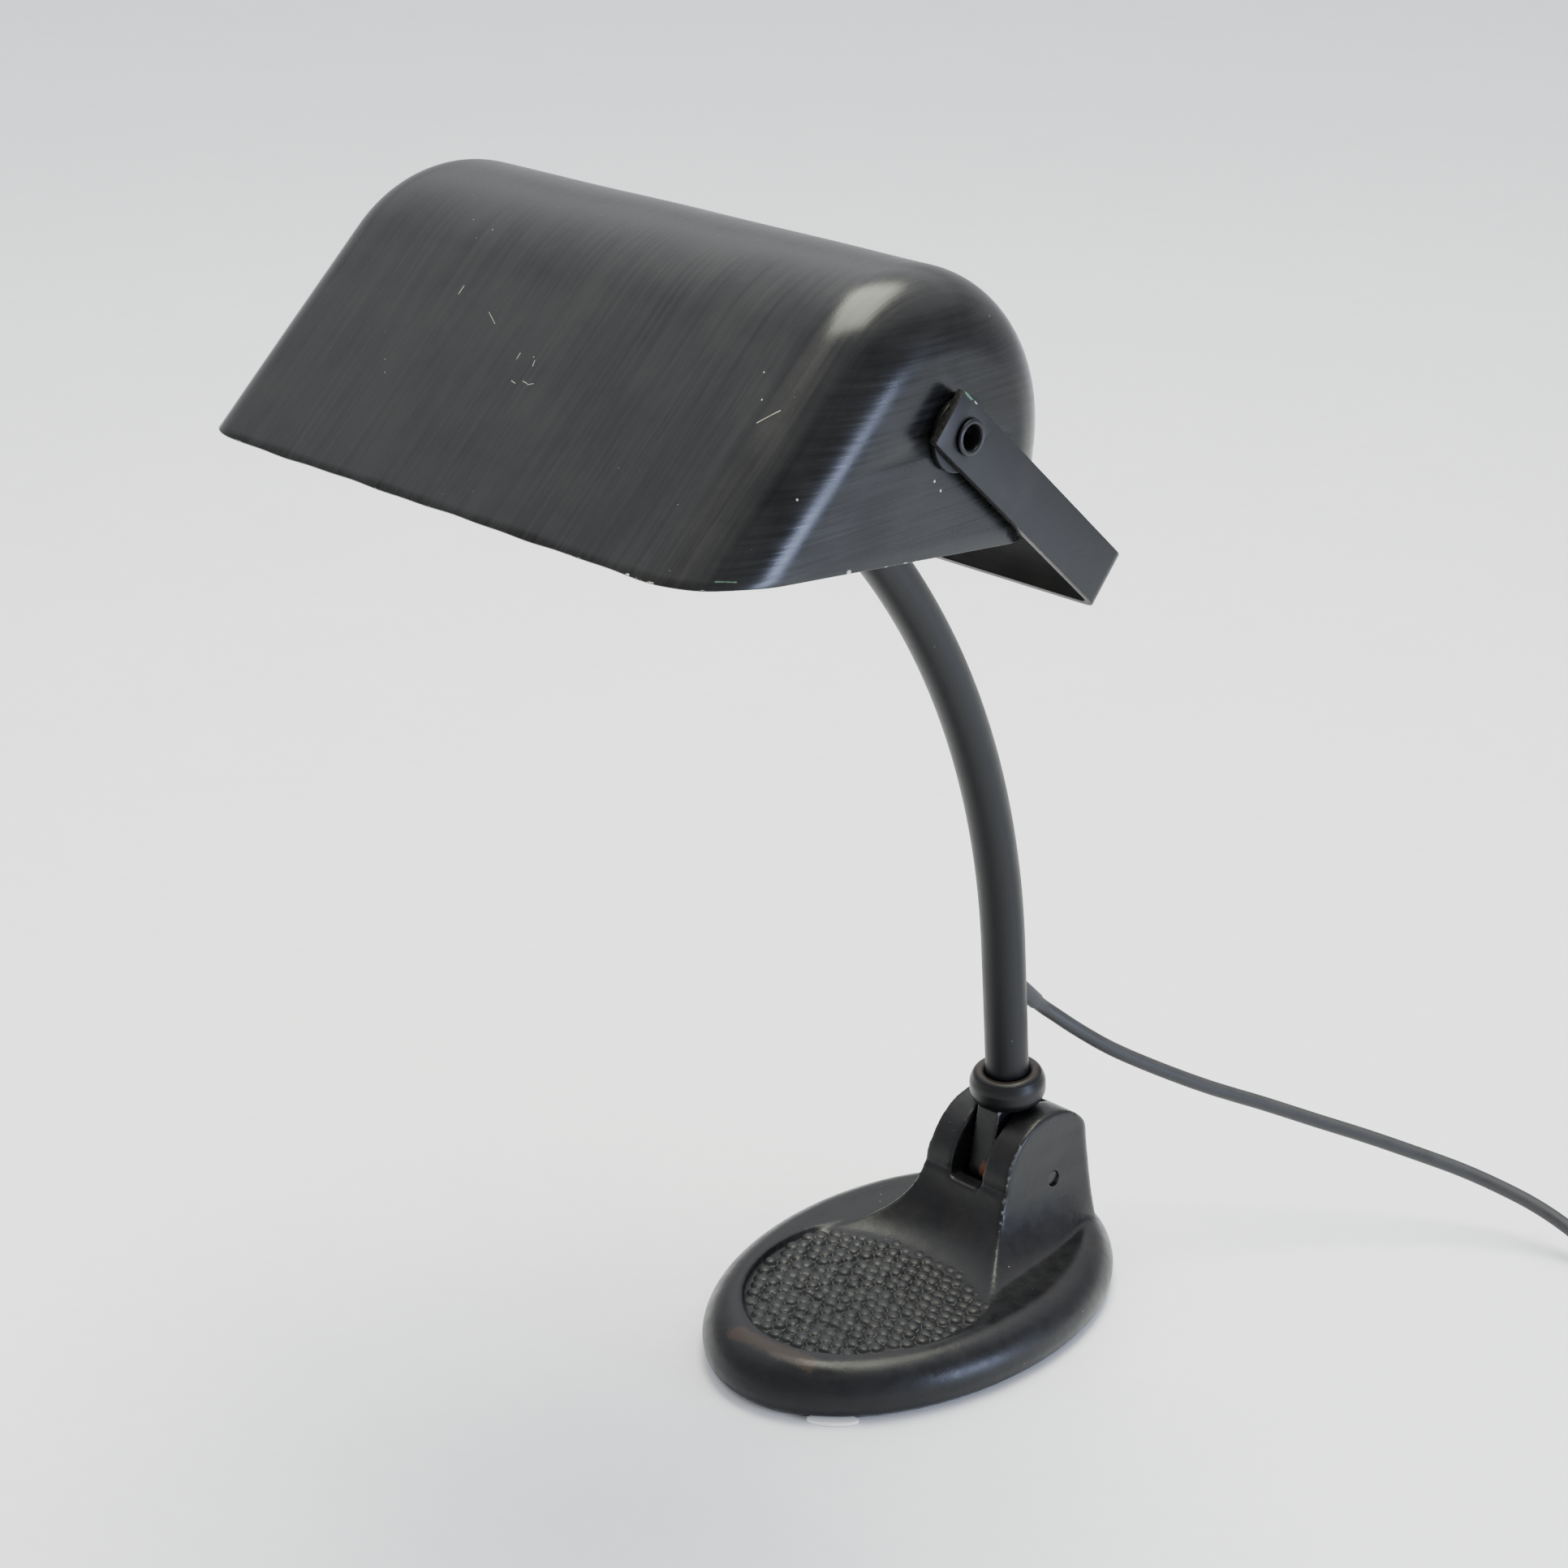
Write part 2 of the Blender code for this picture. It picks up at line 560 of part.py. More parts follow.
def make_collar(material, parent):
    """Rounded ring nut round the foot of the tube."""
    low = COLLAR_BOTTOM
    high = COLLAR_BOTTOM + COLLAR_HEIGHT
    bore = TUBE_RADIUS + RUNNING_GAP
    outline = [
        (bore, low), (COLLAR_RADIUS - 1.6 * MM, low), (COLLAR_RADIUS - 0.5 * MM, low + 1.2 * MM),
        (COLLAR_RADIUS, low + 3.5 * MM), (COLLAR_RADIUS, high - 4.5 * MM),
        (COLLAR_RADIUS - 0.6 * MM, high - 2.4 * MM), (COLLAR_RADIUS - 1.8 * MM, high - 0.9 * MM),
        (COLLAR_RIM_RADIUS + 0.6 * MM, high - 0.1 * MM), (COLLAR_RIM_RADIUS - 0.6 * MM, high),
        (bore + 0.4 * MM, high - 0.5 * MM), (bore, high - 1.0 * MM),
    ]
    return add_object("collar_ring", turned(outline, 36), material, STEM_FRAME, parent)


def tube_frames(steps):
    """Frames along the stem tube: its straight foot, then its bend towards the front."""
    frames = [STEM_FRAME @ Matrix.Translation((0.0, 0.0, TUBE_BOTTOM))]
    for i in range(steps + 1):
        angle = STEM_LEAN + (TUBE_END_ANGLE - STEM_LEAN) * i / steps
        frames.append(Matrix.Translation(bend_point(angle)) @ Matrix.Rotation(angle, 4, "X"))
    return frames


def tube_ring(frame, radius):
    """One ring of points round the tube's centreline."""
    return [frame @ Vector((x, y, 0.0)) for x, y in arc((0.0, 0.0), radius, 0.0, 2 * pi, ROUND)[:-1]]


def make_stem_tube(material, parent):
    """Bent tube with a slanted hole in its back for the cord."""
    frames = tube_frames(12)
    rings = [tube_ring(frame, TUBE_RADIUS) for frame in frames]
    rings += [tube_ring(frame, TUBE_BORE) for frame in reversed(frames)]
    tube = add_object("stem_tube", loft(rings, hollow=True), material, parent=parent)
    hole = disc(RELIEF_ROOT_RADIUS + RUNNING_GAP, -1.0 * MM, 3 * TUBE_RADIUS)
    frame = exit_frame() @ Matrix.Translation((0.0, 0.0, -RELIEF_INSIDE))
    apply_boolean(tube, add_object("exit_cutter", hole, None, frame))
    return tube


def exit_frame():
    """Frame at the cord's hole in the back of the tube, with Z along the cord as it leaves."""
    along = (EXIT_HEIGHT - PIN_Z) / cos(STEM_LEAN)
    axis_point = STEM_FRAME @ Vector((0.0, 0.0, along))
    direction = Vector((0.0, cos(EXIT_SLOPE), -sin(EXIT_SLOPE)))
    surface = axis_point + Vector((0.0, TUBE_RADIUS, 0.0))
    return Matrix.Translation(surface) @ direction.to_track_quat("Z", "Y").to_matrix().to_4x4()


def make_cord_relief(material, parent):
    """Slim tapered rubber sleeve round the cord where it leaves the tube."""
    bore = FLEX_DIAMETER / 2 + SEAT_GAP
    outline = [(bore, -RELIEF_INSIDE), (RELIEF_ROOT_RADIUS, -RELIEF_INSIDE),
               (RELIEF_ROOT_RADIUS, 3.0 * MM), (RELIEF_TIP_RADIUS, RELIEF_OUTSIDE - 0.6 * MM),
               (RELIEF_TIP_RADIUS - 0.12 * MM, RELIEF_OUTSIDE), (bore, RELIEF_OUTSIDE)]
    return add_object("cord_relief", turned(outline, 24), material, exit_frame(), parent)


def make_stem_flex(material, parent):
    """The cord's inner part: through the relief, round into the tube and up to the nipple's tip."""
    frame = exit_frame()
    points = [frame @ Vector((0.0, 0.0, z)) for z in
              (RELIEF_OUTSIDE, RELIEF_OUTSIDE / 3, -RELIEF_INSIDE / 3, -RELIEF_INSIDE,
               -RELIEF_INSIDE - 3.0 * MM)]
    along = (EXIT_HEIGHT - PIN_Z) / cos(STEM_LEAN)
    slack = TUBE_BORE - FLEX_DIAMETER / 2 - 1.2 * MM
    for rise, offset in ((9.5 * MM, -0.1 * slack), (16.0 * MM, -0.7 * slack)):
        points.append(STEM_FRAME @ Vector((0.0, offset, along + rise)))
    steps = 9
    for i in range(1, steps):
        share = i / steps
        angle = STEM_LEAN + (TUBE_END_ANGLE - STEM_LEAN) * share
        points.append(bend_point(angle, -slack * max(0.0, 1 - 1.6 * share)))
    points.append(STEM_TOP_FRAME @ Vector((0.0, 0.0, -NIPPLE_BELOW)))
    points.append(STEM_TOP_FRAME @ Vector((0.0, 0.0, BAR_THICKNESS / 2 + NIPPLE_ABOVE)))
    return add_cord("stem_flex", smooth_points(points, 2.5 * FLEX_DIAMETER), FLEX_DIAMETER,
                    material, parent)


def make_stem_top(steel, brass, parent):
    """Nipple in the tube's end, and the washer and nut that clamp the cross bar on it."""
    face = BAR_THICKNESS / 2
    outline = [(NIPPLE_BORE, -NIPPLE_BELOW), (NIPPLE_RADIUS, -NIPPLE_BELOW),
               (NIPPLE_RADIUS, face + NIPPLE_ABOVE), (NIPPLE_BORE, face + NIPPLE_ABOVE)]
    add_object("stem_nipple", turned(outline, 24), brass, STEM_TOP_FRAME, parent)

    # A plug in the tube's end carries the nipple.
    top = -face - 2 * SEAT_GAP
    outline = [(NIPPLE_RADIUS + RUNNING_GAP, top - 10.0 * MM), (TUBE_BORE - 0.35 * MM, top - 10.0 * MM),
               (TUBE_BORE - 0.35 * MM, top), (NIPPLE_RADIUS + RUNNING_GAP, top)]
    add_object("tube_end_bush", turned(outline, 24), steel, STEM_TOP_FRAME, parent)

    low = face + SEAT_GAP
    washer = disc(LOCK_WASHER_RADIUS, low, low + LOCK_WASHER_THICKNESS, NIPPLE_RADIUS + RUNNING_GAP)
    add_object("lock_washer", washer, steel, STEM_TOP_FRAME, parent)

    low += LOCK_WASHER_THICKNESS + SEAT_GAP
    nut = add_object("lock_nut", prism(hexagon(NUT_FLATS), low, low + NUT_THICKNESS), brass,
                     STEM_TOP_FRAME, parent, smooth=False)
    bore = disc(NIPPLE_RADIUS + RUNNING_GAP, 0.0, 2 * (low + NUT_THICKNESS), steps=24)
    apply_boolean(nut, add_object("nut_bore_cutter", bore, None, STEM_TOP_FRAME))


# ================================================================ bracket and pivots
def make_bracket(material, parent):
    """Flat bar bent to a U: two arms outside the shade and a cross bar behind it."""
    end = -ARM_BEYOND_PIVOT
    bar = ARM_LENGTH + BAR_THICKNESS / 2
    outer = BAR_BEND_RADIUS
    inner = BAR_BEND_RADIUS - BAR_THICKNESS
    right_out = arc((ARM_OUTER_X - outer, bar - outer), outer, 0.0, pi / 2, 6)
    left_out = [(-x, y) for x, y in reversed(right_out)]
    corner = (ARM_INNER_X - inner, bar - BAR_THICKNESS - inner)
    right_in = arc(corner, inner, 0.0, pi / 2, 6)
    left_in = [(-x, y) for x, y in reversed(right_in)]
    outline = [(ARM_OUTER_X, end)] + right_out + left_out + [(-ARM_OUTER_X, end), (-ARM_INNER_X, end)]
    outline += list(reversed(left_in)) + list(reversed(right_in)) + [(ARM_INNER_X, end)]
    bracket = add_object("shade_bracket", prism(outline, -BAR_WIDTH / 2, BAR_WIDTH / 2), material,
                         BRACKET_FRAME, parent, smooth=False)
    bore = disc(RIVET_SHANK_RADIUS + RUNNING_GAP, -2 * ARM_OUTER_X, 2 * ARM_OUTER_X)
    apply_boolean(bracket, add_object("arm_bore_cutter", bore, None, along_x(0.0, PIVOT)))
    bore = disc(NIPPLE_RADIUS + RUNNING_GAP, -3 * BAR_THICKNESS, 3 * BAR_THICKNESS)
    apply_boolean(bracket, add_object("bar_bore_cutter", bore, None, STEM_TOP_FRAME))
    return bracket


def side_frame(side):
    """Frame on the shade's pivot axis, with Z pointing outwards on one side."""
    return along_x(0.0, PIVOT) if side > 0 else along_x(0.0, PIVOT) @ Matrix.Rotation(pi, 4, "Y")


def make_pivot(side, rivet_metal, washer_metal, parent):
    """Hollow rivet, spacer washer and inner washer of one pivot."""
    word = "right" if side > 0 else "left"
    frame = side_frame(side)
    bore = RIVET_SHANK_RADIUS + RUNNING_GAP
    low = SHADE_HALF_LENGTH + SEAT_GAP
    spacer = disc(SPACER_RADIUS, low, low + SPACER_THICKNESS, bore)
    add_object(f"spacer_washer_{word}", spacer, washer_metal, frame, parent)

    high = SHADE_HALF_LENGTH - SHADE_SHEET - SEAT_GAP
    low = high - INNER_WASHER_THICKNESS
    inner = disc(INNER_WASHER_RADIUS, low, high, bore)
    add_object(f"inner_washer_{word}", inner, washer_metal, frame, parent)

    inside = low - SEAT_GAP
    outside = ARM_OUTER_X + SEAT_GAP
    rim = RIVET_RIM_THICKNESS
    outline = [
        (RIVET_BORE_RADIUS, inside - rim), (RIVET_RIM_RADIUS - 0.4 * MM, inside - rim),
        (RIVET_RIM_RADIUS, inside), (RIVET_SHANK_RADIUS, inside),
        (RIVET_SHANK_RADIUS, outside), (RIVET_RIM_RADIUS, outside),
        (RIVET_RIM_RADIUS - 0.2 * MM, outside + 0.6 * rim), (RIVET_RIM_RADIUS - 0.8 * MM, outside + rim),
        (RIVET_BORE_RADIUS + 0.3 * MM, outside + 0.8 * rim), (RIVET_BORE_RADIUS, outside),
    ]
    add_object(f"pivot_rivet_{word}", turned(outline), rivet_metal, frame, parent)


# ================================================================ shade
def shade_section(offset, mouth_z):
    """Section of the shade, drawn in by an offset: front panel, crown arc, straight back, mouth."""
    reach = hypot(CROWN_Y - SHADE_FRONT_Y, CROWN_Z - SHADE_MOUTH_Z)
    slope = atan2(CROWN_Z - SHADE_MOUTH_Z, CROWN_Y - SHADE_FRONT_Y) + asin(CROWN_RADIUS / reach)
    radius = CROWN_RADIUS - offset
    front_y = SHADE_FRONT_Y + offset / sin(slope) + (mouth_z - SHADE_MOUTH_Z) / tan(slope)
    back_y = CROWN_Y + radius
    crown = arc((CROWN_Y, CROWN_Z), radius, slope + pi / 2, 0.0, 18)
    return [(front_y, mouth_z)] + crown + [(back_y, mouth_z)]


def shade_solid(inward, mouth_z):
    """Closed body of the shade, inward by a wall, with rounded edges towards both end caps."""
    steps = 6
    radius = SHADE_END_RADIUS - inward
    half = SHADE_HALF_LENGTH - inward
    rings = []
    for i in range(steps + 1):
        angle = pi / 2 * i / steps
        x = half - radius * (1 - cos(angle))
        offset = inward + radius * (1 - sin(angle))
        rings.append((x, offset))
    left = [(-x, offset) for x, offset in rings]
    right = [(x, offset) for x, offset in reversed(rings)]
    return loft([[(x, y, z) for y, z in shade_section(offset, mouth_z)] for x, offset in left + right])


def make_shade(material, parent):
    """Pressed sheet-metal shade, open downwards, with a pivot hole in each end cap."""
    shade = add_object("shade_shell", shade_solid(0.0, SHADE_MOUTH_Z), material, SHADE_FRAME, parent)
    hollow = shade_solid(SHADE_SHEET, SHADE_MOUTH_Z - 6.0 * MM)
    apply_boolean(shade, add_object("shade_cutter", hollow, None, SHADE_FRAME))
    bore = disc(RIVET_SHANK_RADIUS + RUNNING_GAP, -2 * SHADE_HALF_LENGTH, 2 * SHADE_HALF_LENGTH)
    apply_boolean(shade, add_object("pivot_cutter", bore, None, along_x(0.0, PIVOT)))
    for sign in (-1, 1):
        hole = disc(STRAP_RIVET_RADIUS + RUNNING_GAP, -2 * SHADE_HALF_LENGTH, -SHADE_HALF_LENGTH / 2, steps=16)
        apply_boolean(shade, add_object(f"strap_hole_cutter_{sign + 2}", hole, None,
                                        along_x(0.0, strap_rivet_centre(sign))))
    return shade


def strap_rivet_centre(sign):
    """Place of a strap rivet, square to the bracket's arm so that the arm never covers it."""
    across = BRACKET_FRAME.to_3x3() @ Vector((0.0, 0.0, 1.0))
    return PIVOT + across * sign * (STRAP_HALF_SPAN + STRAP_FOOT / 2)


# ================================================================ lampholder and bulb
def make_strap(steel, parent):
    """Hat-shaped strap inside the left end cap, which bridges the pivot and carries the lampholder."""
    cap = -SHADE_HALF_LENGTH + SHADE_SHEET + SEAT_GAP
    top = STRAP_X
    span = STRAP_HALF_SPAN
    t = STRAP_THICKNESS
    upper = [(cap, span + STRAP_FOOT), (cap, span), (top - t, span), (top - t, 0.0)]
    upper_in = [(top, 0.0), (top, span + t), (cap + t, span + t), (cap + t, span + STRAP_FOOT)]
    lower = [(x, -z) for x, z in reversed(upper[:-1])]
    lower_in = [(x, -z) for x, z in reversed(upper_in[1:])]
    outline = upper + lower + lower_in + upper_in
    frame = BRACKET_FRAME @ Matrix.Rotation(pi / 2, 4, "X")
    strap = add_object("lampholder_strap", prism(outline, -STRAP_WIDTH / 2, STRAP_WIDTH / 2), steel,
                       frame, parent, smooth=False)
    bore = disc(NIPPLE_RADIUS + RUNNING_GAP, STRAP_X - 5 * t, STRAP_X + 5 * t, steps=24)
    apply_boolean(strap, add_object("strap_bore_cutter", bore, None, along_x(0.0, PIVOT)))
    for sign in (-1, 1):
        centre = strap_rivet_centre(sign)
        hole = disc(STRAP_RIVET_RADIUS + RUNNING_GAP, cap - 5 * t, cap + 5 * t, steps=16)
        apply_boolean(strap, add_object(f"strap_foot_cutter_{sign + 2}", hole, None, along_x(0.0, centre)))
        make_strap_rivet(sign, centre, cap + t, steel, parent)
    return strap


def make_strap_rivet(sign, centre, foot_x, steel, parent):
    """Rivet with two low heads, through the end cap and one foot of the strap."""
    word = "upper" if sign > 0 else "lower"
    outer = -SHADE_HALF_LENGTH - SEAT_GAP
    inner = foot_x + SEAT_GAP
    head = 0.9 * MM
    outline = [(0.0, outer - head), (STRAP_RIVET_HEAD - 1.0 * MM, outer - head),
               (STRAP_RIVET_HEAD, outer), (STRAP_RIVET_RADIUS, outer), (STRAP_RIVET_RADIUS, inner),
               (STRAP_RIVET_HEAD, inner), (STRAP_RIVET_HEAD - 1.0 * MM, inner + head), (0.0, inner + head)]
    add_object(f"strap_rivet_{word}", turned(outline, 16), steel, along_x(0.0, centre), parent)


def make_lampholder(bakelite, porcelain, brass, parent):
    """Nipple, nut, domed cap, skirt, insert and both contacts of the lampholder."""
    frame = along_x(0.0, PIVOT)
    plate = STRAP_X - STRAP_THICKNESS
    wall = HOLDER_WALL

    tail = plate - HOLDER_NIPPLE_LENGTH / 2
    nipple = disc(NIPPLE_RADIUS, tail, tail + HOLDER_NIPPLE_LENGTH, NIPPLE_BORE, 24)
    add_object("holder_nipple", nipple, brass, frame, parent)

    nut = add_object("holder_nut", prism(hexagon(NUT_FLATS), plate - SEAT_GAP - NUT_THICKNESS, plate - SEAT_GAP),
                     brass, frame, parent, smooth=False)
    bore = disc(NIPPLE_RADIUS + RUNNING_GAP, 2 * STRAP_X, 0.0, steps=24)
    apply_boolean(nut, add_object("holder_nut_cutter", bore, None, frame))

    low = STRAP_X + SEAT_GAP
    mid = low + HOLDER_CAP_LENGTH
    bore = NIPPLE_RADIUS + RUNNING_GAP
    outline = [(bore, low), (8.0 * MM, low), (14.0 * MM, low + 4.0 * MM), (HOLDER_RADIUS, low + 10.0 * MM),
               (HOLDER_RADIUS, mid), (HOLDER_RADIUS - wall, mid), (HOLDER_RADIUS - wall, low + 11.0 * MM),
               (12.5 * MM, low + 6.5 * MM), (bore, low + 6.0 * MM)]
    add_object("lampholder_cap", turned(outline), bakelite, frame, parent)

    start = mid + SEAT_GAP
    end = start + HOLDER_BODY_LENGTH
    outline = [(HOLDER_RADIUS - wall, start), (HOLDER_RADIUS, start), (HOLDER_RADIUS, start + 12.0 * MM),
               (HOLDER_RADIUS - 1.2 * MM, start + 13.2 * MM), (HOLDER_RADIUS - 1.2 * MM, end - 1.0 * MM),
               (HOLDER_RADIUS - 2.0 * MM, end), (HOLDER_RADIUS - wall, end)]
    add_object("lampholder_skirt", turned(outline), bakelite, frame, parent)

    face = start + 4.0 * MM
    insert = disc(HOLDER_RADIUS - wall - SEAT_GAP, face - INSERT_THICKNESS, face)
    add_object("lampholder_insert", insert, porcelain, frame, parent)

    contact = prism([(-2.0 * MM, -2.5 * MM), (2.0 * MM, -2.5 * MM), (2.0 * MM, 2.5 * MM), (-2.0 * MM, 2.5 * MM)],
                    face + SEAT_GAP, face + 2.2 * MM)
    add_object("centre_contact", contact, brass, frame, parent, smooth=False)
    shell_low = face + SEAT_GAP
    shell = disc(HOLDER_RADIUS - wall - SEAT_GAP, shell_low, shell_low + 18.0 * MM,
                 HOLDER_RADIUS - wall - 1.1 * MM)
    add_object("screw_shell", shell, brass, frame, parent)
    return face


def make_bulb(glass, brass, face, parent):
    """Round bulb: a brass screw cap, and a glass envelope that is open inside the cap."""
    frame = along_x(0.0, PIVOT)
    low = face + 2.5 * MM
    thread = []
    for i in range(5):
        z = low + 5.0 * MM + i * 3.6 * MM
        thread += [(BULB_CAP_RADIUS - 0.8 * MM, z), (BULB_CAP_RADIUS, z + 1.8 * MM)]
    neck = low + BULB_CAP_LENGTH
    wall = 1.0 * MM
    outline = [(0.0, low), (4.5 * MM, low), (9.5 * MM, low + 4.0 * MM)] + thread
    outline += [(BULB_CAP_RADIUS, neck), (BULB_CAP_RADIUS - wall - 1.0 * MM, neck),
                (BULB_CAP_RADIUS - wall - 1.0 * MM, low + 6.0 * MM), (0.0, low + 6.0 * MM)]
    add_object("bulb_cap", turned(outline, 24), brass, frame, parent)

    start = neck + SEAT_GAP
    centre = start + BULB_LENGTH - BULB_RADIUS
    neck_radius = BULB_CAP_RADIUS - 0.6 * MM
    flare = asin((neck_radius + 1.0 * MM) / BULB_RADIUS)
    outside = arc((0.0, centre), BULB_RADIUS, -pi / 2 + flare, pi / 2, 9)
    inside = arc((0.0, centre), BULB_RADIUS - BULB_GLASS, pi / 2, -pi / 2 + flare, 9)
    outside[-1] = (0.0, outside[-1][1])
    inside[0] = (0.0, inside[0][1])
    outline = inside + [(neck_radius - BULB_GLASS, start), (neck_radius, start)] + outside
    add_object("bulb_glass", turned(outline, 24), glass, frame, parent)


def make_holder_flex(material, parent):
    """Thin flex from the stem's nipple, under the shade's back edge, round into the lampholder."""
    tip = BAR_THICKNESS / 2 + NIPPLE_ABOVE
    points = [STEM_TOP_FRAME @ Vector((0.0, 0.0, tip + ahead)) for ahead in (0.6 * MM, 4.0 * MM)]
    for x, radius, angle in ((-2.0, 70.0, -47.5), (-7.0, 66.0, -56.0), (-17.0, 58.0, -64.0),
                             (-31.0, 47.0, -67.0), (-47.0, 37.0, -62.0), (-62.0, 31.0, -52.0),
                             (-77.0, 29.5, -44.0), (-89.0, 26.5, -40.0)):
        turn = radians(angle)
        points.append(PIVOT + Vector((x * MM, radius * MM * cos(turn), radius * MM * sin(turn))))
    tail = STRAP_X - STRAP_THICKNESS - HOLDER_NIPPLE_LENGTH / 2
    for x, back, down in ((-7.0, 15.5, -12.5), (-9.5, 9.0, -7.5), (-7.5, 2.6, -2.2),
                          (-3.0, 0.0, 0.0), (2.0, 0.0, 0.0)):
        points.append(PIVOT + Vector((tail + x * MM, back * MM, down * MM)))
    return add_cord("lampholder_flex", smooth_points(points, 1.6 * HOLDER_FLEX_DIAMETER),
                    HOLDER_FLEX_DIAMETER, material, parent)


# ================================================================ free cord
def make_cord(rubber, tie_material, parent):
    """Free lead from the relief to the coil, the coil's outer shape and its tie."""
    frame = exit_frame()
    start = [frame @ Vector((0.0, 0.0, RELIEF_OUTSIDE + ahead)) for ahead in (0.7 * MM, 5.0 * MM)]
    add_cord("cord_lead", smooth_points(start + LEAD_ROUTE, 2.2 * CORD_DIAMETER), CORD_DIAMETER,
             rubber, parent)

    centre = Matrix.Translation((*COIL_CENTRE, 0.0))
    top = COIL_BOTTOM + COIL_HEIGHT
    r = 2.2 * MM
    outline = [(COIL_INNER_RADIUS + r, COIL_BOTTOM), (COIL_OUTER_RADIUS - r, COIL_BOTTOM),
               (COIL_OUTER_RADIUS, COIL_BOTTOM + r), (COIL_OUTER_RADIUS, top - r),
               (COIL_OUTER_RADIUS - r, top), (COIL_INNER_RADIUS + r, top),
               (COIL_INNER_RADIUS, top - r), (COIL_INNER_RADIUS, COIL_BOTTOM + r)]
    add_object("cord_coil", turned(outline, 48), rubber, centre, parent)

    gap = SEAT_GAP
    t = TIE_THICKNESS
    left = (COIL_INNER_RADIUS ** 2 - (TIE_WIDTH / 2 + gap) ** 2) ** 0.5 - gap
    right = COIL_OUTER_RADIUS + gap + 0.1 * MM
    band = prism([(left - t, COIL_BOTTOM - gap - t), (right + t, COIL_BOTTOM - gap - t),
                  (right + t, top + gap + t), (left - t, top + gap + t)], -TIE_WIDTH / 2, TIE_WIDTH / 2)
    place = centre @ Matrix.Rotation(radians(20), 4, "Z") @ Matrix.Rotation(pi / 2, 4, "X")
    tie = add_object("cord_tie", band, tie_material, place, parent, smooth=False)
    window = prism([(left, COIL_BOTTOM - gap), (right, COIL_BOTTOM - gap), (right, top + gap), (left, top + gap)],
                   -TIE_WIDTH, TIE_WIDTH)
    apply_boolean(tie, add_object("tie_cutter", window, None, place))


def plug_section(half_width, half_height, x):
    """Rounded outline of the plug at one place along its length."""
    corner = 0.45 * half_height
    points = []
    for sy, sz, start in ((1, 1, 0.0), (-1, 1, pi / 2), (-1, -1, pi), (1, -1, 3 * pi / 2)):
        centre = (sy * (half_width - corner), sz * (half_height - corner))
        points += arc(centre, corner, start, start + pi / 2, 4)
    return [(x, y, z) for y, z in points]


def make_plug(black, metal, rubber, parent):
    """Flat two-pin plug behind the coil, with a tapered relief and a short tail of cord."""
    back = COIL_CENTRE[1] + PLUG_TURN
    tail_x = COIL_CENTRE[0] - (COIL_OUTER_RADIUS ** 2 - (PLUG_TURN - CORD_DIAMETER / 2) ** 2) ** 0.5 - 0.5 * MM
    turn_z = COIL_BOTTOM + 1.55 * CORD_DIAMETER
    relief_x = tail_x - 10.0 * MM
    tail = [(tail_x, back, turn_z), (tail_x - 3.0 * MM, back, turn_z - 0.5 * MM),
            (relief_x + 3.5 * MM, back, PLUG_AXIS_Z), (relief_x, back, PLUG_AXIS_Z)]
    add_cord("cord_tail", smooth_points(tail, 0.8 * CORD_DIAMETER), CORD_DIAMETER, rubber, parent)

    centre = Matrix.Translation((0.0, back, PLUG_AXIS_Z))
    end = relief_x - 2 * SEAT_GAP
    body_x = end - PLUG_RELIEF_LENGTH
    relief = [plug_section(3.2 * MM, 3.2 * MM, end), plug_section(3.6 * MM, 3.5 * MM, end - 6.0 * MM),
              plug_section(5.6 * MM, 4.6 * MM, body_x)]
    front = body_x - PLUG_BODY_LENGTH
    half_w = PLUG_BODY_WIDTH / 2
    half_h = PLUG_BODY_HEIGHT / 2
    body = [plug_section(6.0 * MM, 5.0 * MM, body_x - 0.8 * MM),
            plug_section(0.72 * half_w, 0.95 * half_h, body_x - 6.0 * MM),
            plug_section(0.94 * half_w, half_h, body_x - 15.0 * MM),
            plug_section(half_w, half_h, body_x - 26.0 * MM),
            plug_section(half_w, half_h, front + 0.8 * MM),
            plug_section(half_w - 0.8 * MM, half_h - 0.8 * MM, front)]
    add_object("plug_body", loft(relief + body), black, centre, parent)
    for side, word in ((-1, "left"), (1, "right")):
        pin = [(0.0, SEAT_GAP), (PLUG_PIN_RADIUS, SEAT_GAP), (PLUG_PIN_RADIUS, PLUG_PIN_LENGTH - 0.8 * MM),
               (PLUG_PIN_RADIUS - 0.7 * MM, PLUG_PIN_LENGTH), (0.0, PLUG_PIN_LENGTH)]
        place = (Matrix.Translation((front, back + side * PLUG_PIN_SPACING / 2, PLUG_AXIS_Z))
                 @ Matrix.Rotation(-pi / 2, 4, "Y"))
        add_object(f"plug_pin_{word}", turned(pin, 16), metal, place, parent)


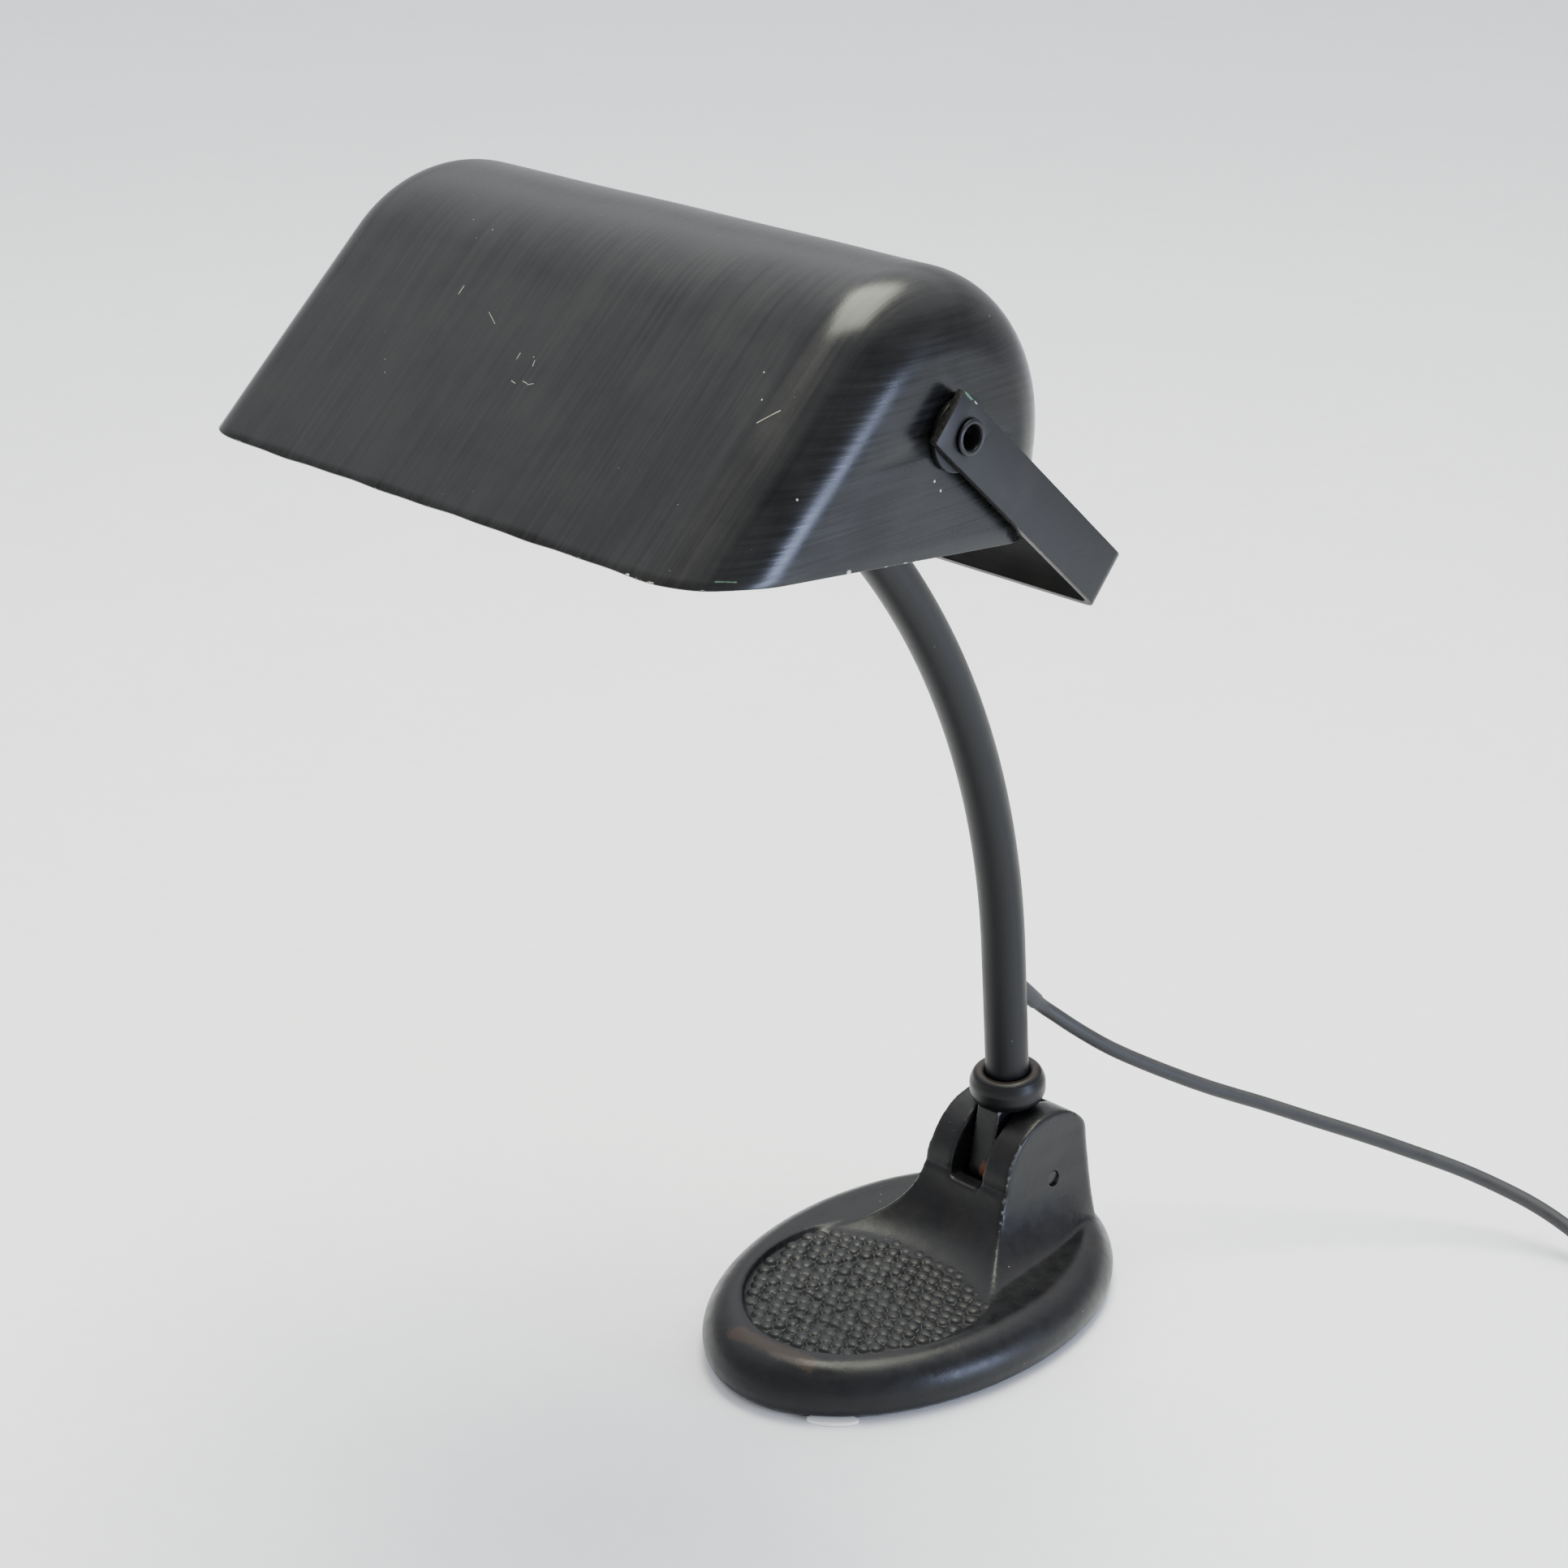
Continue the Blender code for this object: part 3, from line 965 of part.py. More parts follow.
# ================================================================ assembly
def main():
    """Build the whole lamp: base, stem group, shade group and cord."""
    clear_scene()
    iron = finish("black_painted_cast_iron", (0.052, 0.053, 0.056), 0.48)
    paint = finish("black_painted_steel", (0.050, 0.051, 0.054), 0.42)
    felt = finish("grey_felt", (0.52, 0.51, 0.47), 0.95)
    steel = finish("bare_steel", (0.45, 0.45, 0.46), 0.38, 1.0)
    brass = finish("brass", (0.60, 0.45, 0.20), 0.34, 1.0)
    rubber = finish("grey_rubber", (0.075, 0.075, 0.080), 0.62)
    bakelite = finish("bakelite", (0.020, 0.014, 0.011), 0.25)
    porcelain = finish("porcelain", (0.78, 0.76, 0.70), 0.25)
    glass = finish("frosted_glass", (0.86, 0.86, 0.83), 0.35)
    tie = finish("tie_strap", (0.03, 0.03, 0.03), 0.70)

    base = add_empty("base_frame", Matrix.Identity(4))
    stem = add_empty("base_tilt_axis", Matrix.Translation(PIN_CENTRE), base)
    shade = add_empty("shade_tilt_axis", Matrix.Translation(PIVOT), stem)

    make_base_casting(iron, base)
    make_base_felt(felt, base)
    make_fork_pin(steel, base)

    make_knuckle(iron, stem)
    for side in (-1, 1):
        make_friction_washer(side, brass, stem)
        make_pivot(side, paint, paint, stem)
    make_collar(paint, stem)
    make_stem_tube(paint, stem)
    make_cord_relief(rubber, stem)
    make_stem_flex(rubber, stem)
    make_stem_top(steel, brass, stem)
    make_bracket(paint, stem)

    make_shade(paint, shade)
    make_strap(steel, shade)
    face = make_lampholder(bakelite, porcelain, brass, shade)
    make_bulb(glass, brass, face, shade)
    make_holder_flex(rubber, shade)

    make_cord(rubber, tie, base)
    make_plug(rubber, brass, rubber, base)
    bpy.context.view_layer.update()


main()
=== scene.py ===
"""Looks of a banker desk lamp: oval cast base, bent stem, U-bracket and long sheet-metal shade.

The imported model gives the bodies, the joints and each piece's place. This script makes the fine
surface of every piece, its finish, the cord with its coil and plug, a plain floor, soft light
and the camera.
"""

from __future__ import annotations

import json
import logging
from dataclasses import dataclass, field
from enum import Enum
from math import acos, asin, atan2, cos, hypot, pi, radians, sin

import bmesh
import bpy
import numpy as np
from mathutils import Matrix, Vector

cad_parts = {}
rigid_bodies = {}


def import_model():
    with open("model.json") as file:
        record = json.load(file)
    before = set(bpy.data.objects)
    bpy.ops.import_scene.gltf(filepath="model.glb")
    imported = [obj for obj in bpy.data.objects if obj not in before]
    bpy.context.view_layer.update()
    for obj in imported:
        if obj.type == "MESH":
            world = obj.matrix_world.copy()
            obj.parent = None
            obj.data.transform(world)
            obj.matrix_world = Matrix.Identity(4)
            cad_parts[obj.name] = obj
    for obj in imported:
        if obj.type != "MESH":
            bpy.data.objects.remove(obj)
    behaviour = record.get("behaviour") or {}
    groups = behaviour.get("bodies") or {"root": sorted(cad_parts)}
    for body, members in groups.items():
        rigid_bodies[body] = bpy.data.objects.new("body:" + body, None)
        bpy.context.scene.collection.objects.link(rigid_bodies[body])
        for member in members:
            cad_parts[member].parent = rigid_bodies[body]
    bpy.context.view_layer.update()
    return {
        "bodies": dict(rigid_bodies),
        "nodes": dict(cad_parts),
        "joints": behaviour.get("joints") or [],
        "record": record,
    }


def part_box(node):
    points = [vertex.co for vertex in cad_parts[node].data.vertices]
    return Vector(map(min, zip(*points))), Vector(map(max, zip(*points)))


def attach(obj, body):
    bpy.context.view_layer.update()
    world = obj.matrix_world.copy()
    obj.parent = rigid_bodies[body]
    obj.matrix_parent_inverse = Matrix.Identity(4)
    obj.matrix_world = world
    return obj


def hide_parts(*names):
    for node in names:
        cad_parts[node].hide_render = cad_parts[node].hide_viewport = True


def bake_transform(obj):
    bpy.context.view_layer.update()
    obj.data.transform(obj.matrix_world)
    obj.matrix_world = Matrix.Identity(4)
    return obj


LOG = logging.getLogger("desk_lamp")
MM = 0.001


class Body(Enum):
    """Bodies of the lamp that move on their own."""

    BASE = "base"
    STEM = "stem"
    SHADE = "shade"


class Cut(Enum):
    """Ways to combine two closed meshes."""

    TAKE_AWAY = "DIFFERENCE"
    JOIN = "UNION"
    KEEP_COMMON = "INTERSECT"


# ---------------------------------------------------------------- geometry of the joints
PIN = Vector((0.0, 4.1 * MM, 40.6 * MM))
STEM_LEAN = radians(5.0)
STEM_FRAME = Matrix.Translation(PIN) @ Matrix.Rotation(STEM_LEAN, 4, "X")
TUBE_STRAIGHT = 89.8 * MM
TUBE_BEND_RADIUS = 294.5 * MM
ARM_SLOPE = radians(42.17)
TUBE_END_ANGLE = pi / 2 - ARM_SLOPE
ARM_LENGTH = 87.8 * MM
BAR_THICKNESS = 2.6 * MM
SEAT_GAP = 0.3 * MM


def bend_point(angle: float, offset: float = 0.0) -> Vector:
    """Find a point of the stem's bend.

    Args:
        angle: How far the stem leans there, in radians.
        offset: Distance from its centreline towards the back, in metres.

    Returns:
        The point, in metres.
    """
    start = STEM_FRAME @ Vector((0.0, 0.0, TUBE_STRAIGHT))
    y = start.y - TUBE_BEND_RADIUS * (cos(STEM_LEAN) - cos(angle)) + offset * cos(angle)
    z = start.z + TUBE_BEND_RADIUS * (sin(angle) - sin(STEM_LEAN)) + offset * sin(angle)
    return Vector((0.0, y, z))


ARM_TURN = Matrix.Rotation(-ARM_SLOPE, 4, "X")
PIVOT = bend_point(TUBE_END_ANGLE) - (ARM_TURN @ Vector((0.0, 1.0, 0.0))) * (
    SEAT_GAP + BAR_THICKNESS / 2 + ARM_LENGTH)
SHADE_PITCH = radians(-6.5)
SHADE_FRAME = Matrix.Translation(PIVOT) @ Matrix.Rotation(SHADE_PITCH, 4, "X")
BRACKET_FRAME = Matrix.Translation(PIVOT) @ ARM_TURN
PIVOT_FRAME = Matrix.Translation(PIVOT) @ Matrix.Rotation(pi / 2, 4, "Y")
STEM_TOP_FRAME = (BRACKET_FRAME @ Matrix.Translation((0.0, ARM_LENGTH, 0.0))
                  @ Matrix.Rotation(pi / 2, 4, "X"))


def cord_exit_frame() -> Matrix:
    """Return the frame at the cord's hole in the stem, with Z along the cord as it leaves.

    Returns:
        The frame, in the lamp's own.
    """
    slope = radians(42.7)
    along = (110.9 * MM - PIN.z) / cos(STEM_LEAN)
    surface = STEM_FRAME @ Vector((0.0, 0.0, along)) + Vector((0.0, 8.0 * MM, 0.0))
    way = Vector((0.0, cos(slope), -sin(slope)))
    return Matrix.Translation(surface) @ way.to_track_quat("Z", "Y").to_matrix().to_4x4()


# ================================================================ mesh helpers
def arc(centre: tuple[float, float], radius: float, start: float, end: float,
        steps: int) -> list[tuple[float, float]]:
    """Return points of a flat arc from one angle to another, both ends included.

    Args:
        centre: The arc's middle.
        radius: Its radius.
        start: Angle at which it starts, in radians.
        end: Angle at which it ends.
        steps: How many pieces it has.

    Returns:
        The points, one more than the pieces.
    """
    turn = (end - start) / steps
    return [(centre[0] + radius * cos(start + turn * i), centre[1] + radius * sin(start + turn * i))
            for i in range(steps + 1)]


def make_object(name: str, bm: bmesh.types.BMesh, frame: Matrix | None = None,
                smooth: bool = True, sharp: float = 40.0) -> bpy.types.Object:
    """Turn a bmesh into an object at the origin, with its place in its mesh.

    Args:
        name: The piece's name.
        bm: The mesh, which is freed here.
        frame: Where the mesh goes, in the lamp's frame.
        smooth: Whether it is shaded smooth below the sharp angle.
        sharp: Angle in degrees above which an edge stays sharp.

    Returns:
        The new object.
    """
    if frame is not None:
        bmesh.ops.transform(bm, matrix=frame, verts=bm.verts)
    mesh = bpy.data.meshes.new(name)
    bm.to_mesh(mesh)
    bm.free()
    if smooth:
        mesh.shade_smooth()
        mesh.set_sharp_from_angle(angle=radians(sharp))
    piece = bpy.data.objects.new(name, mesh)
    bpy.context.scene.collection.objects.link(piece)
    return piece


def turned(outline: list[tuple[float, float]], steps: int = 64) -> bmesh.types.BMesh:
    """Spin a flat outline of (radius, z) points about Z into a closed solid.

    Args:
        outline: The points. A ring's outline doesn't touch the axis.
        steps: Sides of the turned piece.

    Returns:
        The solid.
    """
    bm = bmesh.new()
    verts = [bm.verts.new((radius, 0.0, z)) for radius, z in outline]
    pairs = list(zip(verts, verts[1:]))
    if outline[0][0] > 0.0:
        pairs.append((verts[-1], verts[0]))
    edges = [bm.edges.new(pair) for pair in pairs]
    bmesh.ops.spin(bm, geom=verts + edges, cent=(0, 0, 0), axis=(0, 0, 1), angle=2 * pi,
                   steps=steps, use_merge=True)
    bmesh.ops.remove_doubles(bm, verts=bm.verts, dist=1e-7)
    bmesh.ops.recalc_face_normals(bm, faces=bm.faces)
    return bm


def rounded(outline: list[tuple[float, float]], radius: float,
            steps: int = 4) -> list[tuple[float, float]]:
    """Round the inner corners of an outline.

    Args:
        outline: Corner points, of which the first and last are kept.
        radius: Rounding radius, made smaller where a side is short.
        steps: Points along each rounding.

    Returns:
        The outline with rounded corners.
    """
    points = [outline[0]]
    for before, corner, after in zip(outline, outline[1:], outline[2:]):
        a, b, c = Vector(before), Vector(corner), Vector(after)
        reach = min(radius, (a - b).length * 0.45, (c - b).length * 0.45)
        start = b + (a - b).normalized() * reach
        end = b + (c - b).normalized() * reach
        for i in range(steps + 1):
            t = i / steps
            points.append(tuple(start * (1 - t) ** 2 + b * 2 * t * (1 - t) + end * t * t))
    points.append(outline[-1])
    return points


def prism(outline: list[tuple[float, float]], low: float, high: float) -> bmesh.types.BMesh:
    """Extrude a flat outline between two heights into a closed solid.

    Args:
        outline: Corner points of the outline, in metres.
        low: Height of its underside.
        high: Height of its top.

    Returns:
        The solid.
    """
    bm = bmesh.new()
    face = bm.faces.new([bm.verts.new((x, y, low)) for x, y in outline])
    grown = bmesh.ops.extrude_face_region(bm, geom=[face])
    moved = [g for g in grown["geom"] if isinstance(g, bmesh.types.BMVert)]
    bmesh.ops.translate(bm, verts=moved, vec=(0.0, 0.0, high - low))
    bmesh.ops.recalc_face_normals(bm, faces=bm.faces)
    return bm


def swept(rings: list[list[tuple[float, float, float]]], closed: bool = True,
          caps: bool = True) -> bmesh.types.BMesh:
    """Extrude a first ring through all the others, which have the same number of points.

    Args:
        rings: Points of each ring, in metres.
        closed: Whether a ring's last point joins its first.
        caps: Whether the first and last rings are filled.

    Returns:
        The swept mesh.
    """
    bm = bmesh.new()
    place = bm.verts.layers.int.new("place")
    verts = [bm.verts.new(point) for point in rings[0]]
    for i, vert in enumerate(verts):
        vert[place] = i
    pairs = list(zip(verts, verts[1:])) + ([(verts[-1], verts[0])] if closed else [])
    edges = [bm.edges.new(pair) for pair in pairs]
    if caps:
        bmesh.ops.contextual_create(bm, geom=edges)
    for ring in rings[1:]:
        grown = bmesh.ops.extrude_edge_only(bm, edges=edges)["geom"]
        edges = [g for g in grown if isinstance(g, bmesh.types.BMEdge)]
        for vert in (g for g in grown if isinstance(g, bmesh.types.BMVert)):
            vert.co = ring[vert[place]]
    if caps:
        bmesh.ops.contextual_create(bm, geom=edges)
    bm.verts.layers.int.remove(place)
    bmesh.ops.recalc_face_normals(bm, faces=bm.faces)
    return bm


def settle(piece: bpy.types.Object) -> bpy.types.Object:
    """Apply a piece's modifiers to its mesh.

    Args:
        piece: The piece, whose modifiers are used up.

    Returns:
        The same piece, with a new mesh.
    """
    bpy.context.view_layer.update()
    shown = piece.evaluated_get(bpy.context.evaluated_depsgraph_get())
    mesh = bpy.data.meshes.new_from_object(shown)
    old = piece.data
    piece.modifiers.clear()
    piece.data = mesh
    bpy.data.meshes.remove(old)
    mesh.name = piece.name
    return piece


def combine(piece: bpy.types.Object, tool: bpy.types.Object, way: Cut) -> bpy.types.Object:
    """Cut or join a tool into a piece, and remove the tool.

    Args:
        piece: The piece that stays.
        tool: The piece that is used up.
        way: What the tool does to the piece.

    Returns:
        The piece, with its new mesh.
    """
    step = piece.modifiers.new("combine", "BOOLEAN")
    step.operation = way.value
    step.solver = "EXACT"
    step.object = tool
    settle(piece)
    bpy.data.objects.remove(tool, do_unlink=True)
    return piece


def soften(piece: bpy.types.Object, voxel: float, rounds: int) -> bpy.types.Object:
    """Give a piece the soft edges of a casting.

    Args:
        piece: The closed piece.
        voxel: Size of the new faces, in metres.
        rounds: How many times the surface is smoothed.

    Returns:
        The same piece, with a new mesh.
    """
    step = piece.modifiers.new("soften", "REMESH")
    step.mode = "VOXEL"
    step.voxel_size = voxel
    settle(piece)
    bm = bmesh.new()
    bm.from_mesh(piece.data)
    for _ in range(rounds):
        bmesh.ops.smooth_vert(bm, verts=bm.verts, factor=0.5, use_axis_x=True, use_axis_y=True,
                              use_axis_z=True)
    bm.to_mesh(piece.data)
    bm.free()
    piece.data.shade_smooth()
    return piece


def mark_wear(piece: bpy.types.Object, rounds: int = 2) -> None:
    """Store how far each point stands out of its surroundings, for paint that wears on edges.

    Args:
        piece: The piece, which gets a point attribute of how far each point stands out.
        rounds: How many times the wear is spread.
    """
    mesh = piece.data
    count = len(mesh.vertices)
    places = np.empty(count * 3)
    mesh.vertices.foreach_get("co", places)
    places = places.reshape(-1, 3)
    normals = np.empty(count * 3)
    mesh.vertices.foreach_get("normal", normals)
    normals = normals.reshape(-1, 3)
    ends = np.empty(len(mesh.edges) * 2, dtype=np.int64)
    mesh.edges.foreach_get("vertices", ends)
    ends = ends.reshape(-1, 2)
    a = np.concatenate([ends[:, 0], ends[:, 1]])
    b = np.concatenate([ends[:, 1], ends[:, 0]])
    near = np.maximum(np.bincount(a, minlength=count), 1)
    mean = np.stack([np.bincount(a, places[b, k], count) for k in range(3)], axis=1) / near[:, None]
    length = np.bincount(a, np.linalg.norm(places[a] - places[b], axis=1), count) / near
    out = np.einsum("ij,ij->i", places - mean, normals) / np.maximum(length, 1e-9)
    for _ in range(rounds):
        out = 0.5 * out + 0.5 * np.bincount(a, out[b], count) / near
    layer = mesh.attributes.new("wear_and_highlight", "FLOAT", "POINT")
    layer.data.foreach_set("value", np.clip(out * 5.0, 0.0, 1.0).astype(np.float32))


def smooth_route(route: list[tuple[float, float, float]], spacing: float) -> list[Vector]:
    """Return evenly spaced points on a smooth curve through a route.

    Args:
        route: The points that the curve passes, in metres.
        spacing: Distance between the points that are returned.

    Returns:
        The points, with both ends of the route among them.
    """
    route = [Vector(point) for point in route]
    padded = [2 * route[0] - route[1]] + route + [2 * route[-1] - route[-2]]
    fine = []
    for a, b, c, d in zip(padded, padded[1:], padded[2:], padded[3:]):
        for step in range(12):
            t = step / 12
            fine.append(0.5 * (2 * b + (c - a) * t + (2 * a - 5 * b + 4 * c - d) * t * t
                               + (3 * b - a - 3 * c + d) * t ** 3))
    fine.append(route[-1])
    lengths = [0.0]
    for a, b in zip(fine, fine[1:]):
        lengths.append(lengths[-1] + (b - a).length)
    count = max(2, round(lengths[-1] / spacing))
    points = []
    i = 0
    for k in range(count + 1):
        wanted = lengths[-1] * k / count
        while i < len(fine) - 2 and lengths[i + 1] < wanted:
            i += 1
        share = (wanted - lengths[i]) / max(lengths[i + 1] - lengths[i], 1e-9)
        points.append(fine[i].lerp(fine[i + 1], share))
    return points


def make_flex(name: str, points: list[Vector], diameter: float) -> bpy.types.Object:
    """Make a round cord along points, as a closed mesh tube.

    Args:
        name: The piece's name.
        points: Points of its centreline, in metres.
        diameter: Its diameter.

    Returns:
        The new object.
    """
    curve = bpy.data.curves.new(name, "CURVE")
    curve.dimensions = "3D"
    curve.bevel_depth = diameter / 2
    curve.bevel_resolution = 6
    curve.use_fill_caps = True
    spline = curve.splines.new("POLY")
    spline.points.add(len(points) - 1)
    for knot, point in zip(spline.points, points):
        knot.co = (*point, 1.0)
    guide = bpy.data.objects.new(name + "_guide", curve)
    bpy.context.scene.collection.objects.link(guide)
    bpy.context.view_layer.update()
    shown = guide.evaluated_get(bpy.context.evaluated_depsgraph_get())
    mesh = bpy.data.meshes.new_from_object(shown)
    bpy.data.objects.remove(guide, do_unlink=True)
    bm = bmesh.new()
    bm.from_mesh(mesh)
    bmesh.ops.remove_doubles(bm, verts=bm.verts, dist=1e-6)
    bmesh.ops.recalc_face_normals(bm, faces=bm.faces)
    bpy.data.meshes.remove(mesh)
    return make_object(name, bm, sharp=60.0)


# ================================================================ finishes
def linear(code: str) -> tuple[float, float, float, float]:
    """Turn an sRGB hex colour into linear red, green, blue and alpha."""
    parts = [int(code[i:i + 2], 16) / 255 for i in (1, 3, 5)]
    return (*[p / 12.92 if p <= 0.04045 else ((p + 0.055) / 1.055) ** 2.4 for p in parts], 1.0)


def add_node(tree: bpy.types.NodeTree, kind: str, inputs: dict | None = None,
             **settings: object) -> bpy.types.Node:
    """Add a node to a material.

    Args:
        tree: The material's node tree.
        kind: The node's type.
        inputs: Values or sockets for its inputs, by name or number.
        settings: Its other settings.

    Returns:
        The new node.
    """
    node = tree.nodes.new(kind)
    for name, value in settings.items():
        setattr(node, name, value)
    for key, value in (inputs or {}).items():
        if isinstance(value, bpy.types.NodeSocket):
            tree.links.new(value, node.inputs[key])
        else:
            node.inputs[key].default_value = value
    return node


@dataclass(frozen=True)
class Mark:
    """One scratch, chip, speck or stain on a painted surface. Places and sizes are in metres."""

    start: tuple[float, float, float]
    end: tuple[float, float, float]
    width: float
    colour: str
    ragged: float = 0.0
    strength: float = 1.0

    def add(self, tree: bpy.types.NodeTree, at: bpy.types.NodeSocket,
            below: bpy.types.NodeSocket) -> bpy.types.NodeSocket:
        """Lay the mark over a colour.

        Args:
            tree: The material's node tree.
            at: The point on the surface.
            below: The colour under the mark.

        Returns:
            The colour with the mark.
        """
        run = Vector(self.end) - Vector(self.start)
        length = max(run.length, 1e-6)
        way = tuple(run / length) if run.length > 1e-6 else (1.0, 0.0, 0.0)
        off = add_node(tree, "ShaderNodeVectorMath", {0: at, 1: self.start}, operation="SUBTRACT").outputs[0]
        along = add_node(tree, "ShaderNodeVectorMath", {0: off, 1: way},
                         operation="DOT_PRODUCT").outputs["Value"]
        along = add_node(tree, "ShaderNodeClamp", {0: along, 1: 0.0, 2: length}).outputs[0]
        foot = add_node(tree, "ShaderNodeVectorMath", {0: way, "Scale": along}, operation="SCALE").outputs[0]
        apart = add_node(tree, "ShaderNodeVectorMath", {0: off, 1: foot},
                         operation="DISTANCE").outputs["Value"]
        if self.ragged:
            edge = add_node(tree, "ShaderNodeTexNoise", {"Vector": at, "Scale": 1.1 / max(self.width, 1e-4),
                                                         "Detail": 4.0, "Roughness": 0.7}).outputs[0]
            edge = add_node(tree, "ShaderNodeMath", {0: edge, 1: 2.0 * self.ragged, 2: -self.ragged},
                            operation="MULTIPLY_ADD").outputs[0]
            apart = add_node(tree, "ShaderNodeMath", {0: apart, 1: edge}, operation="ADD").outputs[0]
        cover = add_node(tree, "ShaderNodeMapRange", {0: apart, 1: self.width, 2: self.width * 0.6,
                                                      3: 0.0, 4: self.strength}).outputs[0]
        return add_node(tree, "ShaderNodeMix", {0: cover, 6: below, 7: linear(self.colour)},
                        data_type="RGBA").outputs[2]


@dataclass(frozen=True)
class Paint:
    """Oil paint brushed or sprayed on metal: dark, satin, with brush marks, dust, worn edges and, on the
    pad, a painted highlight on the nubs' tops.
    """

    name: str
    deep: str
    light: str
    streak_mm: tuple[float, float, float]
    gloss: tuple[float, float]
    streak_depth_mm: float = 0.02
    cap_streak_mm: tuple[float, float, float] | None = None
    cloud_mm: float = 26.0
    grain_mm: float = 0.9
    grain_depth_mm: float = 0.01
    dust: float = 0.5
    ior: float = 1.33
    marks: tuple[Mark, ...] = ()
    wear_and_highlight_colour: str = ""
    wear_and_highlight_from: float = 0.35
    chips_at_mouth: bool = False
    tint: str = ""

    def build(self) -> bpy.types.Material:
        """Build the material.

        Returns:
            The material.
        """
        made = bpy.data.materials.new(self.name)
        made.use_nodes = True
        tree = made.node_tree
        shader = tree.nodes["Principled BSDF"]
        at = add_node(tree, "ShaderNodeTexCoord").outputs["Object"]

        # Brush marks: fine across the stroke, long along it.
        scale = tuple(1 / (size * MM) for size in self.streak_mm)
        lie = add_node(tree, "ShaderNodeMapping", {"Vector": at, "Scale": scale})
        streak = add_node(tree, "ShaderNodeTexNoise", {"Vector": lie.outputs[0], "Scale": 1.0,
                                                       "Detail": 4.0, "Roughness": 0.62}).outputs[0]
        if self.cap_streak_mm:
            scale = tuple(1 / (size * MM) for size in self.cap_streak_mm)
            lie = add_node(tree, "ShaderNodeMapping", {"Vector": at, "Scale": scale})
            other = add_node(tree, "ShaderNodeTexNoise", {"Vector": lie.outputs[0], "Scale": 1.0,
                                                          "Detail": 4.0, "Roughness": 0.62}).outputs[0]
            facing = add_node(tree, "ShaderNodeNewGeometry").outputs["Normal"]
            side = add_node(tree, "ShaderNodeSeparateXYZ", {0: facing}).outputs[0]
            side = add_node(tree, "ShaderNodeMath", {0: side}, operation="ABSOLUTE").outputs[0]
            side = add_node(tree, "ShaderNodeMapRange", {0: side, 1: 0.55, 2: 0.9}).outputs[0]
            streak = add_node(tree, "ShaderNodeMix", {0: side, 2: streak, 3: other}).outputs[0]

        # Clouds: thicker and thinner paint, and handling.
        cloud = add_node(tree, "ShaderNodeTexNoise", {"Vector": at, "Scale": 1 / (self.cloud_mm * MM),
                                                      "Detail": 5.0, "Roughness": 0.6}).outputs[0]
        grain = add_node(tree, "ShaderNodeTexNoise", {"Vector": at, "Scale": 1 / (self.grain_mm * MM),
                                                      "Detail": 3.0, "Roughness": 0.7}).outputs[0]
        blend = add_node(tree, "ShaderNodeMath", {0: streak, 1: cloud}, operation="ADD").outputs[0]
        blend = add_node(tree, "ShaderNodeMapRange", {0: blend, 1: 0.72, 2: 1.28}).outputs[0]
        colour = add_node(tree, "ShaderNodeMix", {0: blend, 6: linear(self.deep), 7: linear(self.light)},
                          data_type="RGBA").outputs[2]
        rough = add_node(tree, "ShaderNodeMapRange", {0: blend, 3: self.gloss[0],
                                                      4: self.gloss[1]}).outputs[0]

        if self.tint:
            # A warm stain where the paint has aged, in wide patches.
            patch = add_node(tree, "ShaderNodeTexNoise", {"Vector": at, "Scale": 1 / (18 * MM),
                                                          "Detail": 4.0}).outputs[0]
            patch = add_node(tree, "ShaderNodeMapRange", {0: patch, 1: 0.55, 2: 0.75, 4: 0.5}).outputs[0]
            colour = add_node(tree, "ShaderNodeMix", {0: patch, 6: colour, 7: linear(self.tint)},
                              data_type="RGBA").outputs[2]

        if self.dust:
            # Dust: pale specks of 0.2 to 0.5 mm, in loose groups.
            cell = add_node(tree, "ShaderNodeTexVoronoi", {"Vector": at, "Scale": 1 / (3.4 * MM)})
            spot = add_node(tree, "ShaderNodeSeparateColor", {0: cell.outputs["Color"]}).outputs[0]
            reach = add_node(tree, "ShaderNodeMapRange", {0: spot, 1: 0.80, 2: 1.0, 4: 0.085}).outputs[0]
            speck = add_node(tree, "ShaderNodeMath", {0: cell.outputs["Distance"], 1: reach},
                             operation="LESS_THAN").outputs[0]
            group = add_node(tree, "ShaderNodeMapRange", {0: cloud, 1: 0.46, 2: 0.62,
                                                          4: self.dust}).outputs[0]
            speck = add_node(tree, "ShaderNodeMath", {0: speck, 1: group}, operation="MULTIPLY").outputs[0]
            colour = add_node(tree, "ShaderNodeMix", {0: speck, 6: colour, 7: linear("#a7a7a2")},
                              data_type="RGBA").outputs[2]

        # Lighter colour from the stored point attribute: rubbed paint on worn edges, and on the pad a
        # painted highlight on the nubs' tops.
        if self.wear_and_highlight_colour:
            edge = add_node(tree, "ShaderNodeAttribute", attribute_name="wear_and_highlight").outputs["Fac"]
            rub = add_node(tree, "ShaderNodeMath", {0: grain, 1: 0.35}, operation="MULTIPLY").outputs[0]
            edge = add_node(tree, "ShaderNodeMath", {0: edge, 1: rub}, operation="SUBTRACT").outputs[0]
            edge = add_node(tree, "ShaderNodeMapRange", {0: edge, 1: self.wear_and_highlight_from - 0.12,
                                                         2: self.wear_and_highlight_from + 0.3, 4: 0.8}).outputs[0]
            colour = add_node(tree, "ShaderNodeMix", {0: edge, 6: colour, 7: linear(self.wear_and_highlight_colour)},
                              data_type="RGBA").outputs[2]

        if self.chips_at_mouth:
